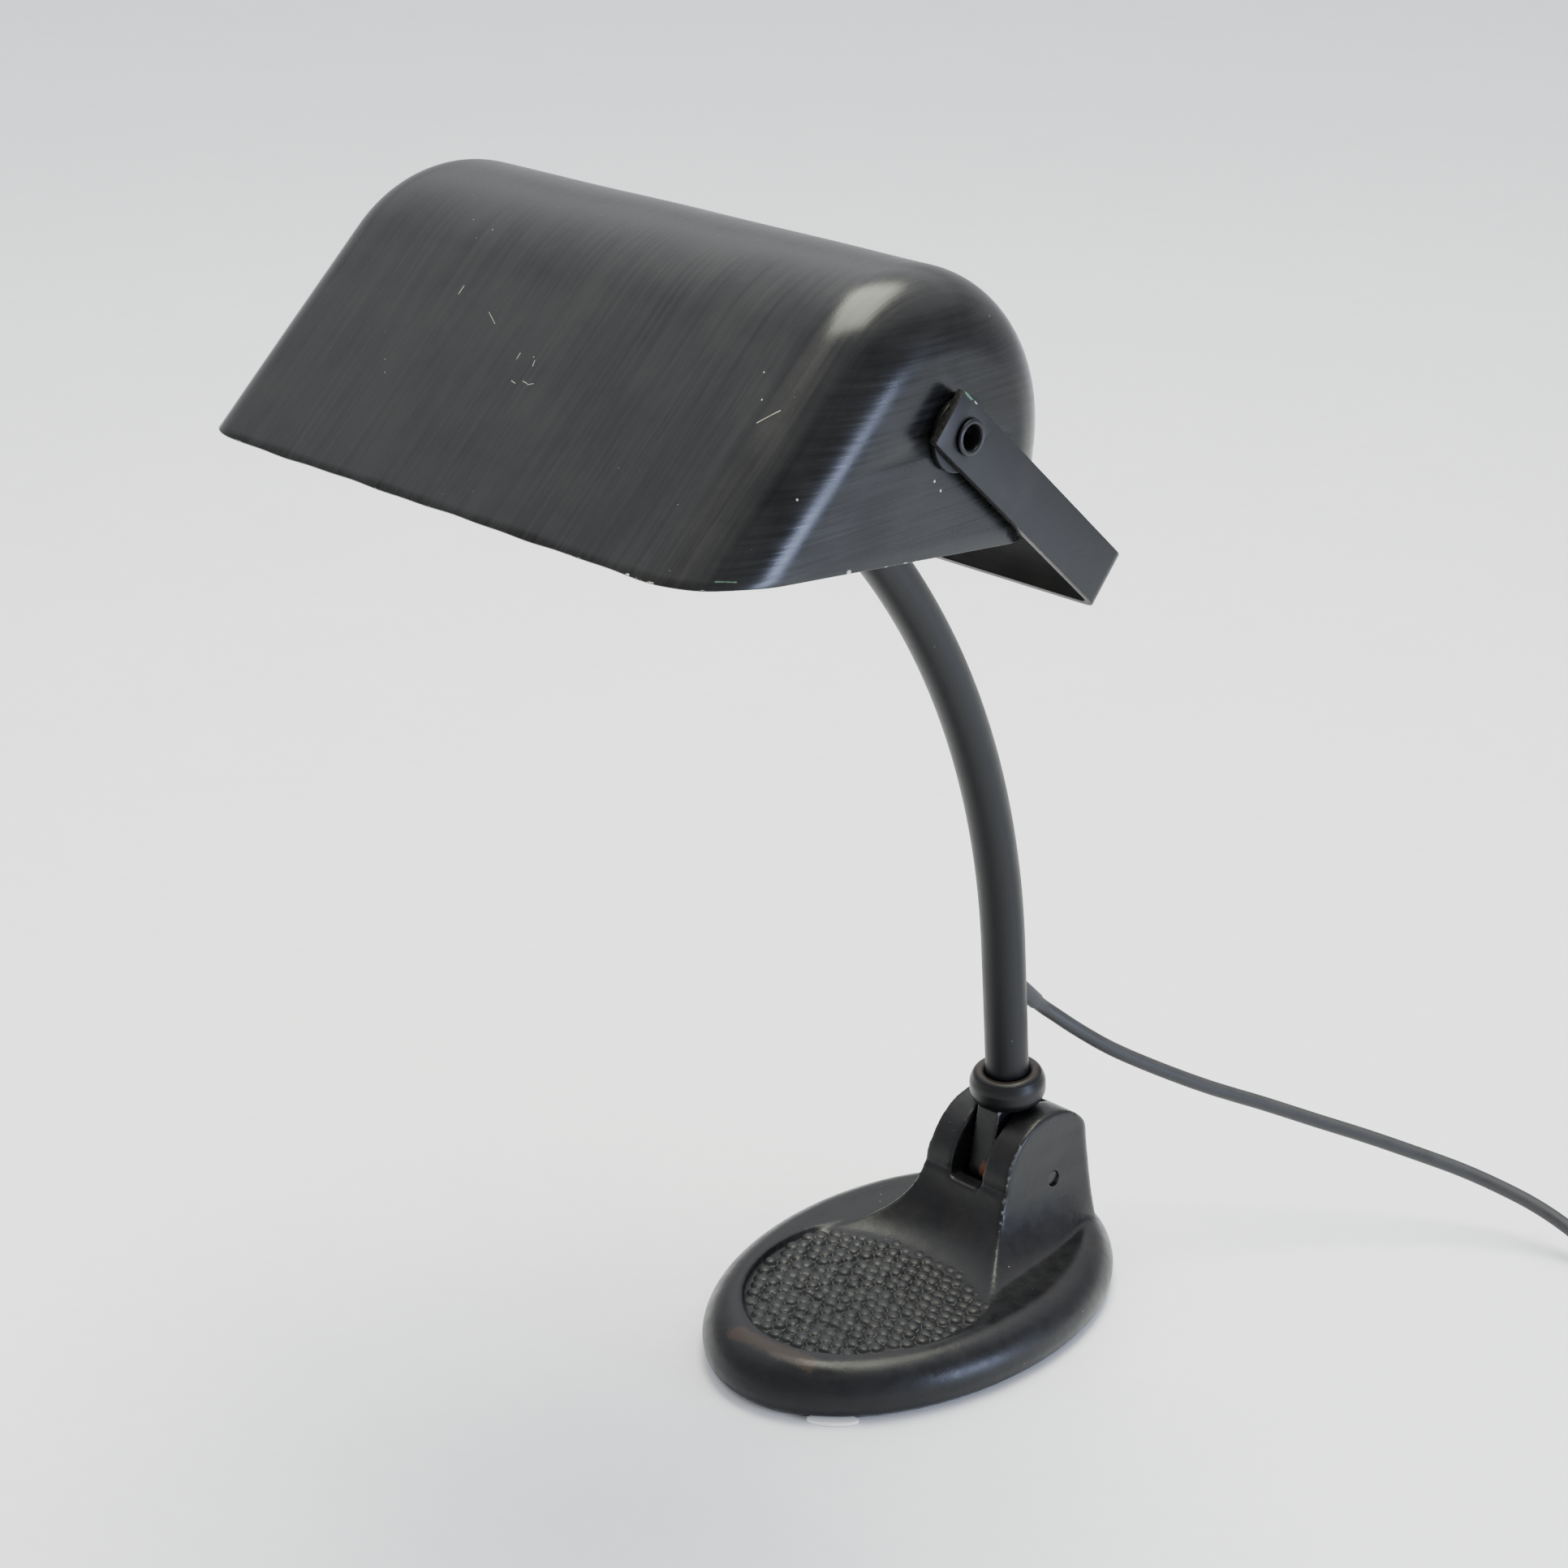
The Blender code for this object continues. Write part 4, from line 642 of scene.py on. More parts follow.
            # Along the mouth the paint has chipped to pale primer and to an older green coat.
            lie = add_node(tree, "ShaderNodeMapping", {"Vector": at, "Location": tuple(-PIVOT)})
            lie = add_node(tree, "ShaderNodeMapping", {"Vector": lie.outputs[0],
                                                       "Rotation": (-SHADE_PITCH, 0.0, 0.0)})
            height = add_node(tree, "ShaderNodeSeparateXYZ", {0: lie.outputs[0]}).outputs[2]
            chip = add_node(tree, "ShaderNodeTexNoise", {"Vector": at, "Scale": 1 / (2.6 * MM),
                                                         "Detail": 5.0, "Roughness": 0.75}).outputs[0]
            wide = add_node(tree, "ShaderNodeTexNoise", {"Vector": at, "Scale": 1 / (24 * MM),
                                                         "Detail": 2.0}).outputs[0]
            chip = add_node(tree, "ShaderNodeMath", {0: chip, 1: wide}, operation="MULTIPLY").outputs[0]
            rim = add_node(tree, "ShaderNodeMapRange", {0: height, 1: -33.9 * MM, 2: -35.4 * MM,
                                                        3: 0.0, 4: 0.42}).outputs[0]
            chip = add_node(tree, "ShaderNodeMath", {0: chip, 1: rim}, operation="MULTIPLY").outputs[0]
            chip = add_node(tree, "ShaderNodeMapRange", {0: chip, 1: 0.135, 2: 0.15, 4: 0.85}).outputs[0]
            kind = add_node(tree, "ShaderNodeTexNoise", {"Vector": at, "Scale": 1 / (11 * MM)}).outputs[0]
            kind = add_node(tree, "ShaderNodeMapRange", {0: kind, 1: 0.52, 2: 0.56}).outputs[0]
            under = add_node(tree, "ShaderNodeMix", {0: kind, 6: linear("#bdb9ae"), 7: linear("#5d7f68")},
                             data_type="RGBA").outputs[2]
            colour = add_node(tree, "ShaderNodeMix", {0: chip, 6: colour, 7: under},
                              data_type="RGBA").outputs[2]

        for mark in self.marks:
            colour = mark.add(tree, at, colour)

        height = add_node(tree, "ShaderNodeMath", {0: streak, 1: self.streak_depth_mm * MM},
                          operation="MULTIPLY").outputs[0]
        fine = add_node(tree, "ShaderNodeMath", {0: grain, 1: self.grain_depth_mm * MM, 2: height},
                        operation="MULTIPLY_ADD").outputs[0]
        bump = add_node(tree, "ShaderNodeBump", {"Height": fine, "Distance": 1.0, "Strength": 1.0})
        tree.links.new(colour, shader.inputs["Base Color"])
        tree.links.new(rough, shader.inputs["Roughness"])
        tree.links.new(bump.outputs[0], shader.inputs["Normal"])
        shader.inputs["IOR"].default_value = self.ior
        return made


@dataclass(frozen=True)
class Plain:
    """A bulk material with mottled colour, varied gloss and a fine grain."""

    name: str
    deep: str
    light: str
    gloss: tuple[float, float]
    grain_mm: float
    depth_mm: float
    metallic: float = 0.0
    ior: float = 1.5
    sheen: float = 0.0
    transmission: float = 0.0
    stretch: tuple[float, float, float] = (1.0, 1.0, 1.0)

    def build(self) -> bpy.types.Material:
        """Build the material.

        Returns:
            The material.
        """
        made = bpy.data.materials.new(self.name)
        made.use_nodes = True
        tree = made.node_tree
        shader = tree.nodes["Principled BSDF"]
        at = add_node(tree, "ShaderNodeTexCoord").outputs["Object"]
        scale = tuple(1 / (self.grain_mm * MM * part) for part in self.stretch)
        lie = add_node(tree, "ShaderNodeMapping", {"Vector": at, "Scale": scale})
        grain = add_node(tree, "ShaderNodeTexNoise", {"Vector": lie.outputs[0], "Scale": 1.0,
                                                      "Detail": 4.0, "Roughness": 0.65}).outputs[0]
        cloud = add_node(tree, "ShaderNodeTexNoise", {"Vector": at, "Scale": 1 / (9 * MM),
                                                      "Detail": 4.0}).outputs[0]
        blend = add_node(tree, "ShaderNodeMath", {0: grain, 1: cloud}, operation="ADD").outputs[0]
        blend = add_node(tree, "ShaderNodeMapRange", {0: blend, 1: 0.7, 2: 1.3}).outputs[0]
        colour = add_node(tree, "ShaderNodeMix", {0: blend, 6: linear(self.deep), 7: linear(self.light)},
                          data_type="RGBA").outputs[2]
        rough = add_node(tree, "ShaderNodeMapRange", {0: blend, 3: self.gloss[0],
                                                      4: self.gloss[1]}).outputs[0]
        height = add_node(tree, "ShaderNodeMath", {0: grain, 1: self.depth_mm * MM},
                          operation="MULTIPLY").outputs[0]
        bump = add_node(tree, "ShaderNodeBump", {"Height": height, "Distance": 1.0, "Strength": 1.0})
        tree.links.new(colour, shader.inputs["Base Color"])
        tree.links.new(rough, shader.inputs["Roughness"])
        tree.links.new(bump.outputs[0], shader.inputs["Normal"])
        shader.inputs["Metallic"].default_value = self.metallic
        if self.metallic < 0.5:
            shader.inputs["IOR"].default_value = self.ior
        shader.inputs["Sheen Weight"].default_value = self.sheen
        shader.inputs["Transmission Weight"].default_value = self.transmission
        return made


def shade_marks() -> tuple[Mark, ...]:
    """Place the shade's scratches, specks and chips, in millimetres along and up the shade.

    Returns:
        The marks.
    """
    shade = Shade()
    marks = []
    # Hair scratches on the front panel.
    for start, end, width in (((93, 53), (97, 58), 0.16), ((-24, 63), (-19, 60), 0.12),
                              ((-40, 69), (-40, 66), 0.12)):
        marks.append(Mark(shade.place(*start), shade.place(*end), width * MM, "#9b9788"))
    # Specks near the right corner, and one on the rounded corner itself.
    for along, up, width in ((90, 60, 0.3), (85, 68, 0.3), (110, 30, 0.4)):
        spot = shade.place(along, up)
        marks.append(Mark(spot, spot, width * MM, "#a6a6a2"))
    # Specks and a chip on the end face, measured from the pivot.
    for back, up, width, ragged in ((-7, -13, 0.45, 0.0), (-4, -16, 0.45, 0.0), (-39, -35, 0.9, 0.5)):
        spot = tuple(SHADE_FRAME @ Vector((shade.half_length, back * MM, up * MM)))
        marks.append(Mark(spot, spot, width * MM, "#bcbcb8", ragged * MM))
    # A trace of an older green coat just above the mouth.
    marks.append(Mark(shade.place(106, 3), shade.place(109, 3), 0.22 * MM, "#56705e", 0.5 * MM, 0.7))
    # A scuff in the middle of the panel: short scratches thrown round one spot.
    rng = np.random.default_rng(11)
    for _ in range(5):
        along, up = rng.normal((5.0, 45.0), 4.0)
        turn = rng.uniform(0.0, pi)
        end = shade.place(along + 2.0 * cos(turn), up + 2.0 * sin(turn))
        marks.append(Mark(shade.place(along, up), end, 0.14 * MM, "#85857f"))
    return tuple(marks)


def arm_marks() -> tuple[Mark, ...]:
    """Place two chips on the upper edge of the right arm, in millimetres from its end.

    Returns:
        The marks.
    """
    stem = Stem()
    face = stem.arm_inner_x + BAR_THICKNESS
    marks = []
    for near, far, width, colour in ((1, 4, 0.8, "#456c55"), (6, 7, 0.4, "#b9b9b4")):
        ends = [tuple(BRACKET_FRAME @ Vector((face, along * MM - stem.arm_beyond, stem.bar_width / 2)))
                for along in (near, far)]
        marks.append(Mark(*ends, width * MM, colour, 0.5 * MM))
    return tuple(marks)


def iron_marks() -> tuple[Mark, ...]:
    """Place the rust low on the knuckle's front, and the brown stain on the base's front crest.

    Returns:
        The marks.
    """
    base = Base()
    rust = [tuple(PIN + Vector((2.0 * MM, -base.knuckle_radius, up * MM))) for up in (2, 4)]
    crest = base.centre_y - base.half_length + base.crest_inset
    stain = [(-12.0 * MM, crest - 2.0 * MM, base.shoulder_z), (20.0 * MM, crest + 2.0 * MM, base.shoulder_z)]
    return (Mark(*rust, 2.4 * MM, "#5c2f1d", 1.6 * MM, 0.85),
            Mark(*stain, 4.0 * MM, "#33271f", 4.0 * MM, 0.7))


@dataclass
class Palette:
    """Every finish of the lamp, built once."""

    # Sheet steel painted by brush: satin black, strokes running round the curve of the shade. The
    # bristle marks are drawn 1.8 mm apart, coarser than real ones, so that they show.
    shade_paint: bpy.types.Material = field(default_factory=lambda: Paint(
        name="brushed_black_oil_paint_on_sheet_steel", deep="#060607", light="#1b1b1b",
        streak_mm=(1.8, 60.0, 60.0), cap_streak_mm=(40.0, 40.0, 1.3), gloss=(0.21, 0.33),
        streak_depth_mm=0.04, dust=0.6, chips_at_mouth=True, marks=shade_marks()).build())
    # Flat bar painted the same, strokes running along the arms; its edges are rubbed.
    bracket_paint: bpy.types.Material = field(default_factory=lambda: Paint(
        name="brushed_black_oil_paint_on_flat_bar", deep="#060607", light="#0b0b0d",
        streak_mm=(30.0, 14.0, 1.1), gloss=(0.36, 0.48), streak_depth_mm=0.014, dust=0.3,
        wear_and_highlight_colour="#4a4946", wear_and_highlight_from=0.70, tint="#1f1b18", marks=arm_marks()).build())
    # Steel tube with an even satin black coat.
    stem_paint: bpy.types.Material = field(default_factory=Paint(
        name="satin_black_oil_paint_on_steel_tube", deep="#070709", light="#0f0f11",
        streak_mm=(1.6, 1.6, 30.0), gloss=(0.40, 0.50), streak_depth_mm=0.008, dust=0.35).build)
    # Turned ring with a glossier coat that has browned on its worn rim.
    collar_paint: bpy.types.Material = field(default_factory=Paint(
        name="glossy_black_enamel_on_turned_steel", deep="#08080a", light="#0f0f11",
        streak_mm=(8.0, 8.0, 1.2), gloss=(0.34, 0.46), streak_depth_mm=0.006, dust=0.3,
        wear_and_highlight_colour="#2c2521", wear_and_highlight_from=0.45, tint="#1a1512").build)
    # Cast iron, sand-cast skin under thick matte paint, rubbed pale along its sharp edges.
    iron_paint: bpy.types.Material = field(default_factory=lambda: Paint(
        name="matte_black_oil_paint_on_cast_iron", deep="#0b0b0d", light="#151517",
        streak_mm=(6.0, 6.0, 6.0), gloss=(0.27, 0.44), streak_depth_mm=0.10, grain_mm=1.2,
        grain_depth_mm=0.040, dust=0.75, wear_and_highlight_colour="#7d7c78", wear_and_highlight_from=0.42, tint="#1d1815",
        marks=iron_marks()).build())
    # The pad's nubs: the same paint, matte and dusty in the valleys; the nubs' tops are painted lighter, a
    # painted highlight.
    pad_paint: bpy.types.Material = field(default_factory=Paint(
        name="matte_black_oil_paint_on_cast_nubs", deep="#101011", light="#1c1c1d",
        streak_mm=(3.0, 3.0, 3.0), gloss=(0.34, 0.50), streak_depth_mm=0.03, grain_mm=1.4,
        grain_depth_mm=0.02, dust=0.4, wear_and_highlight_colour="#222223", wear_and_highlight_from=0.7).build)
    # Rubber-sheathed cord: matte, slightly powdery grey-black.
    cord_rubber: bpy.types.Material = field(default_factory=Plain(
        name="matte_grey_rubber_sheath", deep="#18181a", light="#29292b", gloss=(0.50, 0.68),
        grain_mm=0.7, depth_mm=0.018).build)
    # Moulded plug: smoother and darker than the cord.
    plug_rubber: bpy.types.Material = field(default_factory=Plain(
        name="moulded_black_rubber", deep="#131315", light="#1f1f21", gloss=(0.42, 0.58),
        grain_mm=0.9, depth_mm=0.012).build)
    # Felt: a grey-brown nap that scatters light softly at grazing angles.
    felt: bpy.types.Material = field(default_factory=Plain(
        name="pale_wool_felt", deep="#4b4a47", light="#6a6965", gloss=(0.9, 1.0), grain_mm=0.6,
        depth_mm=0.12, sheen=0.4).build)
    # The same felt, frayed and bleached nearly white.
    worn_felt: bpy.types.Material = field(default_factory=Plain(
        name="bleached_wool_felt", deep="#dededb", light="#f4f4f2", gloss=(0.9, 1.0), grain_mm=0.6,
        depth_mm=0.12, sheen=0.4).build)
    # Bare rolled steel, with faint rolling lines.
    steel: bpy.types.Material = field(default_factory=Plain(
        name="plain_cold_rolled_steel", deep="#77777a", light="#a2a2a4", gloss=(0.30, 0.48),
        grain_mm=0.5, depth_mm=0.006, metallic=1.0, stretch=(1.0, 6.0, 6.0)).build)
    # Brass browned by age, patchy between dull and bright.
    brass: bpy.types.Material = field(default_factory=Plain(
        name="aged_rolled_brass", deep="#8a6a35", light="#c39c58", gloss=(0.26, 0.44),
        grain_mm=0.8, depth_mm=0.006, metallic=1.0).build)
    # Phenolic moulding: near black-brown, glossy, faintly marbled.
    bakelite: bpy.types.Material = field(default_factory=Plain(
        name="moulded_brown_phenolic", deep="#16100d", light="#2a1b14", gloss=(0.16, 0.3),
        grain_mm=1.6, depth_mm=0.006).build)
    # Glazed porcelain: warm white with a sharp shine.
    porcelain: bpy.types.Material = field(default_factory=Plain(
        name="glazed_porcelain", deep="#d9d4c8", light="#ece8de", gloss=(0.1, 0.22),
        grain_mm=1.5, depth_mm=0.004).build)
    # Glass frosted inside: milky white that lets some light through.
    frosted_glass: bpy.types.Material = field(default_factory=Plain(
        name="inside_frosted_bulb_glass", deep="#dcdcd8", light="#f1f1ee", gloss=(0.16, 0.3),
        grain_mm=1.2, depth_mm=0.003, ior=1.5, transmission=0.35).build)
    # Woven nylon: matte black with a coarse thread.
    woven_strap: bpy.types.Material = field(default_factory=Plain(
        name="woven_black_nylon_strap", deep="#121213", light="#2b2b2d", gloss=(0.7, 0.9),
        grain_mm=0.6, depth_mm=0.12, sheen=0.3, stretch=(1.0, 1.0, 0.5)).build)


def dress(piece: bpy.types.Object, material: bpy.types.Material) -> None:
    """Put one material on a whole piece."""
    piece.data.materials.clear()
    piece.data.materials.append(material)


def fit(piece: bpy.types.Object, body: Body, slot: str, *nodes: str) -> bpy.types.Object:
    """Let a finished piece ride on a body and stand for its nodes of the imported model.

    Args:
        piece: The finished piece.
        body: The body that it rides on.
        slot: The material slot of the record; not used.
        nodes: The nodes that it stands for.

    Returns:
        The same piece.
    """
    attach(piece, body.value)
    if nodes:
        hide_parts(*nodes)
    LOG.info("%s: %d faces, on %s", piece.name, len(piece.data.polygons), body.value)
    return piece


def fine_copy(nodes: dict[str, bpy.types.Object], node: str, bevel: float = 0.0,
              sharp: float = 40.0) -> bpy.types.Object:
    """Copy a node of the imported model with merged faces, small bevels and smooth shading.

    Args:
        nodes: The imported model's nodes, by name.
        node: Which node to copy.
        bevel: Width of the bevels on its sharp edges, in metres.
        sharp: Angle in degrees above which an edge counts as sharp.

    Returns:
        The copy, as a new piece.
    """
    bm = bmesh.new()
    bm.from_mesh(nodes[node].data)
    bmesh.ops.remove_doubles(bm, verts=bm.verts, dist=2e-6)
    bmesh.ops.dissolve_limit(bm, angle_limit=radians(0.5), verts=bm.verts, edges=bm.edges)
    if bevel:
        edges = [e for e in bm.edges if len(e.link_faces) == 2
                 and e.calc_face_angle(0.0) > radians(sharp)]
        bmesh.ops.bevel(bm, geom=edges, offset=bevel, offset_type="OFFSET", segments=2,
                        profile=0.5, affect="EDGES", clamp_overlap=True, material=-1)
    return make_object(node + "_fine", bm, sharp=sharp)


# ================================================================ base
@dataclass
class Base:
    """Cast base with its pad of nubs, fork, pin and felt. Sizes are in metres."""

    half_width: float = 61.3 * MM
    half_length: float = 88.5 * MM
    centre_y: float = -50.3 * MM
    egg: float = 0.03
    rim_height: float = 20.0 * MM
    rim_widest_z: float = 7.0 * MM
    crest_inset: float = 12.5 * MM
    foot_inset: float = 2.5 * MM
    shoulder_z: float = 19.4 * MM
    pad_z: float = 17.0 * MM
    pad_half: tuple[float, float] = (43.1 * MM, 52.2 * MM)
    pad_centre_y: float = -68.9 * MM
    nub_pitch: float = 5.3 * MM
    nub_height: float = 1.6 * MM
    bottom_z: float = 1.5 * MM
    cheek_radius: float = 25.4 * MM
    fork_top_half: float = 18.6 * MM
    fork_half: float = 20.0 * MM
    fork_front_y: float = -21.5 * MM
    fork_back_y: float = 27.0 * MM
    flare_side: float = 24.0 * MM
    flare_front: float = 36.0 * MM
    flare_middle: float = 23.0 * MM
    flare_back: float = 6.0 * MM
    flare_height: float = 30.0 * MM
    flare_side_height: float = 24.0 * MM
    flare_foot_z: float = 18.0 * MM
    slot_width: float = 14.5 * MM
    slot_lip_z: float = 40.5 * MM
    knuckle_radius: float = 17.6 * MM
    knuckle_top_half: float = 11.0 * MM
    collar_bottom: float = 27.6 * MM
    pin_radius: float = 3.0 * MM

    def outline(self, inset: float, steps: int = 160) -> list[tuple[float, float]]:
        """Return the base's egg-shaped outline, drawn in by an inset.

        Args:
            inset: How far it is drawn in, in metres.
            steps: How many points it has.

        Returns:
            The points.
        """
        points = []
        for i in range(steps):
            turn = 2 * pi * i / steps
            wide = (self.half_width - inset) * (1 + self.egg * sin(turn))
            points.append((wide * cos(turn), self.centre_y + (self.half_length - inset) * sin(turn)))
        return points

    def dish(self) -> bmesh.types.BMesh:
        """Return the rounded dish, from its underside to the flat inside the crest.

        Returns:
            The closed dish.
        """
        levels = [(self.bottom_z, self.foot_inset), (self.bottom_z + 1.0 * MM, 1.5 * MM),
                  (self.rim_widest_z * 0.6, 0.5 * MM), (self.rim_widest_z, 0.0)]
        for i in range(1, 15):
            angle = pi / 2 * i / 14
            rise = (self.rim_height - self.rim_widest_z) * sin(angle)
            levels.append((self.rim_widest_z + rise, self.crest_inset * (1 - cos(angle))))
        levels.append((self.shoulder_z + 0.25 * MM, self.crest_inset + 2.0 * MM))
        levels.append((self.shoulder_z, self.crest_inset + 4.5 * MM))
        rings = [[(x, y, z) for x, y in self.outline(inset)] for z, inset in levels]
        return swept(rings)

    @staticmethod
    def sweep(z: float, foot: float, height: float, depth: float) -> float:
        """Return how far a concave flare has swept out at height z."""
        rise = min(1.0, max(0.0, (z - foot) / height))
        return depth * (1.0 - (1.0 - (1.0 - rise) ** 2) ** 0.5)

    def fork_section(self, z: float) -> list[tuple[float, float, float]]:
        """Return the plan outline of the fork block at height z.

        Args:
            z: The height, in metres.

        Returns:
            The outline's points.
        """
        lean = (self.fork_half - self.fork_top_half) * max(0.0, z - self.slot_lip_z) / self.cheek_radius
        side = self.fork_half - lean
        corner_x = side + self.sweep(z, self.flare_foot_z, self.flare_side_height, self.flare_side)
        corner_y = self.fork_front_y - self.sweep(z, self.flare_foot_z, self.flare_height, self.flare_front)
        middle_y = self.fork_front_y - self.sweep(z, self.flare_foot_z, self.flare_height, self.flare_middle)
        splay = 1.0 - min(1.0, max(0.0, (z - self.flare_foot_z) / (1.4 * self.flare_height)))
        side_x = (side + self.sweep(z, self.flare_foot_z, 0.8 * self.flare_side_height, self.flare_side / 2)
                  + self.flare_back * splay ** 2)
        back_x = side + self.flare_back * splay ** 2
        back_y = self.fork_back_y
        front = []
        for i in range(9):
            t = i / 8
            front.append((corner_x * t, middle_y + (corner_y - middle_y) * t * t))
        start = Vector((corner_x, corner_y))
        middle = Vector((side_x, -0.15 * self.fork_back_y))
        end = Vector((back_x, back_y - 5.0 * MM))
        flank = []
        for i in range(1, 17):
            t = i / 16
            pull = Vector((side_x * 0.7 + corner_x * 0.3, corner_y * 0.5))
            point = (start * (1 - t) ** 3 + pull * 3 * t * (1 - t) ** 2
                     + middle * 3 * t * t * (1 - t) + end * t ** 3)
            flank.append((point.x, point.y))
        turn = arc((back_x - 5.0 * MM, back_y - 5.0 * MM), 5.0 * MM, 0.0, pi / 2, 6)[1:]
        right = front + flank + turn
        left = [(-x, y) for x, y in reversed(right[1:])]
        return [(x, y, z) for x, y in right + left]

    def fork_block(self) -> bmesh.types.BMesh:
        """Return the block below its rounded top.

        Returns:
            The closed block.
        """
        low = self.flare_foot_z - 4.0 * MM
        levels = [low] + [self.flare_foot_z + self.flare_height * (1 - cos(pi / 2 * i / 24))
                          for i in range(25)]
        levels += [PIN.z + self.cheek_radius * 0.6, PIN.z + self.cheek_radius + 3.0 * MM]
        return swept([self.fork_section(z) for z in levels])

    def envelope(self) -> list[tuple[float, float]]:
        """Return the side view of what the block may fill: a disc about the pin, and all below.

        Returns:
            The outline's points, as (y, z).
        """
        waist = PIN.z + 1.0 * MM
        reach = asin(1.0 * MM / self.cheek_radius)
        top = arc((PIN.y, PIN.z), self.cheek_radius, reach, pi - reach, 72)
        back = self.fork_back_y + 4 * self.flare_back
        front = self.fork_front_y - 2 * self.flare_front
        return [(front, 0.0), (back, 0.0), (back, waist)] + top + [(front, waist)]

    def slot_view(self) -> list[tuple[float, float]]:
        """Return the side view of the slot, with its well for the knuckle and its rear stop.

        Returns:
            The outline's points, as (y, z).
        """
        well = self.knuckle_radius + 1.5 * MM
        lip = asin((PIN.z - self.slot_lip_z) / well)
        corner = hypot(self.knuckle_top_half, self.collar_bottom)
        slope = atan2(self.collar_bottom, self.knuckle_top_half) + asin(self.knuckle_radius / corner)
        stop = slope - pi / 2 + STEM_LEAN
        seat = self.knuckle_radius + SEAT_GAP
        start = Vector((PIN.y + seat * cos(stop), PIN.z + seat * sin(stop)))
        run = Vector((cos(slope + STEM_LEAN), sin(slope + STEM_LEAN)))
        top = start + run * (70.0 * MM - self.knuckle_radius)
        front = self.fork_front_y - self.flare_front
        bottom = arc((PIN.y, PIN.z), well, pi + lip, 2 * pi + stop - acos(seat / well), 48)
        return [(front, top.y), (front, self.slot_lip_z)] + bottom + [tuple(start), tuple(top)]

    def cast(self, palette: Palette) -> None:
        """Build the casting: dish, pocket, fork, slot and pin bore, with soft edges.

        Args:
            palette: The lamp's finishes.
        """
        side_view = Matrix(((0, 0, 1, 0), (1, 0, 0, 0), (0, 1, 0, 0), (0, 0, 0, 1)))
        casting = make_object("base_casting_skin", self.dish())
        wide, long = self.pad_half
        pad = [(wide * cos(2 * pi * i / 128), self.pad_centre_y + long * sin(2 * pi * i / 128))
               for i in range(128)]
        combine(casting, make_object("pocket", prism(pad, self.pad_z, 40 * MM)), Cut.TAKE_AWAY)
        block = make_object("block", self.fork_block())
        view = prism(self.envelope(), -60 * MM, 60 * MM)
        combine(block, make_object("view", view, side_view), Cut.KEEP_COMMON)
        combine(casting, block, Cut.JOIN)
        slot = prism(self.slot_view(), -self.slot_width / 2, self.slot_width / 2)
        combine(casting, make_object("slot", slot, side_view), Cut.TAKE_AWAY)
        soften(casting, 0.85 * MM, 4)
        bore = turned([(0.0, -40 * MM), (self.pin_radius + 0.03 * MM, -40 * MM),
                       (self.pin_radius + 0.03 * MM, 40 * MM), (0.0, 40 * MM)], 64)
        across = Matrix.Translation(PIN) @ Matrix.Rotation(pi / 2, 4, "Y")
        combine(casting, make_object("bore", bore, across), Cut.TAKE_AWAY)
        casting.data.shade_smooth()
        casting.data.set_sharp_from_angle(angle=radians(60))
        mark_wear(casting)
        for vert, cell in zip(casting.data.vertices, casting.data.attributes["wear_and_highlight"].data):
            # Hands rub the right front edge of the fork most.
            rubbed = vert.co.x > 12 * MM and vert.co.y < -12 * MM
            beside_pin = abs(vert.co.y) < 6 * MM and abs(vert.co.z - PIN.z) < 6 * MM
            cell.value *= 0.0 if beside_pin else 1.0 if rubbed else 0.55
        dress(casting, palette.iron_paint)
        fit(casting, Body.BASE, "cast_iron_black", "base_casting")

    def nubs(self, palette: Palette) -> None:
        """Build the pad's skin: rows of rounded nubs that nearly touch each other, with each nub's height
        stored for a painted highlight on its top.

        Args:
            palette: The lamp's finishes.
        """
        rng = np.random.default_rng(7)
        wide, long = self.pad_half
        centres = []
        rows = int(2 * long / (self.nub_pitch * 0.87)) + 2
        for row in range(rows):
            y = -long + row * self.nub_pitch * 0.87
            shift = 0.5 * self.nub_pitch * (row % 2)
            for column in range(int(2 * wide / self.nub_pitch) + 2):
                x = -wide + shift + column * self.nub_pitch
                place = np.array([x, y]) + rng.normal(0.0, 0.45 * MM, 2)
                if (place[0] / wide) ** 2 + (place[1] / long) ** 2 < 0.93:
                    centres.append(place)
        centres = np.array(centres)
        reach = rng.uniform(0.50, 0.58, len(centres)) * self.nub_pitch
        tall = rng.uniform(0.75, 1.1, len(centres)) * self.nub_height
        bm = bmesh.new()
        bmesh.ops.create_grid(bm, x_segments=200, y_segments=240, size=1.0)
        # Each point's height on its nub is stored for the paint, which paints the tops lighter as a painted
        # highlight.
        wear_and_highlight = bm.verts.layers.float.new("wear_and_highlight")
        outside = []
        for vert in bm.verts:
            vert.co.x *= wide
            vert.co.y *= long
            if (vert.co.x / wide) ** 2 + (vert.co.y / long) ** 2 > 1.0:
                outside.append(vert)
        bmesh.ops.delete(bm, geom=outside, context="VERTS")
        for vert in bm.verts:
            here = np.array([vert.co.x, vert.co.y])
            gap = np.linalg.norm(centres - here, axis=1) / reach
            i = int(np.argmin(gap))
            dome = max(0.0, 1.0 - gap[i] ** 2) ** 0.5
            vert.co.z = self.pad_z + 0.12 * MM + tall[i] * dome
            vert[wear_and_highlight] = dome
            vert.co.y += self.pad_centre_y
        pad = make_object("base_pad_nubs", bm, sharp=180.0)
        if pad.data.polygons[0].normal.z < 0:
            pad.data.flip_normals()
        dress(pad, palette.pad_paint)
        fit(pad, Body.BASE, "cast_iron_black")

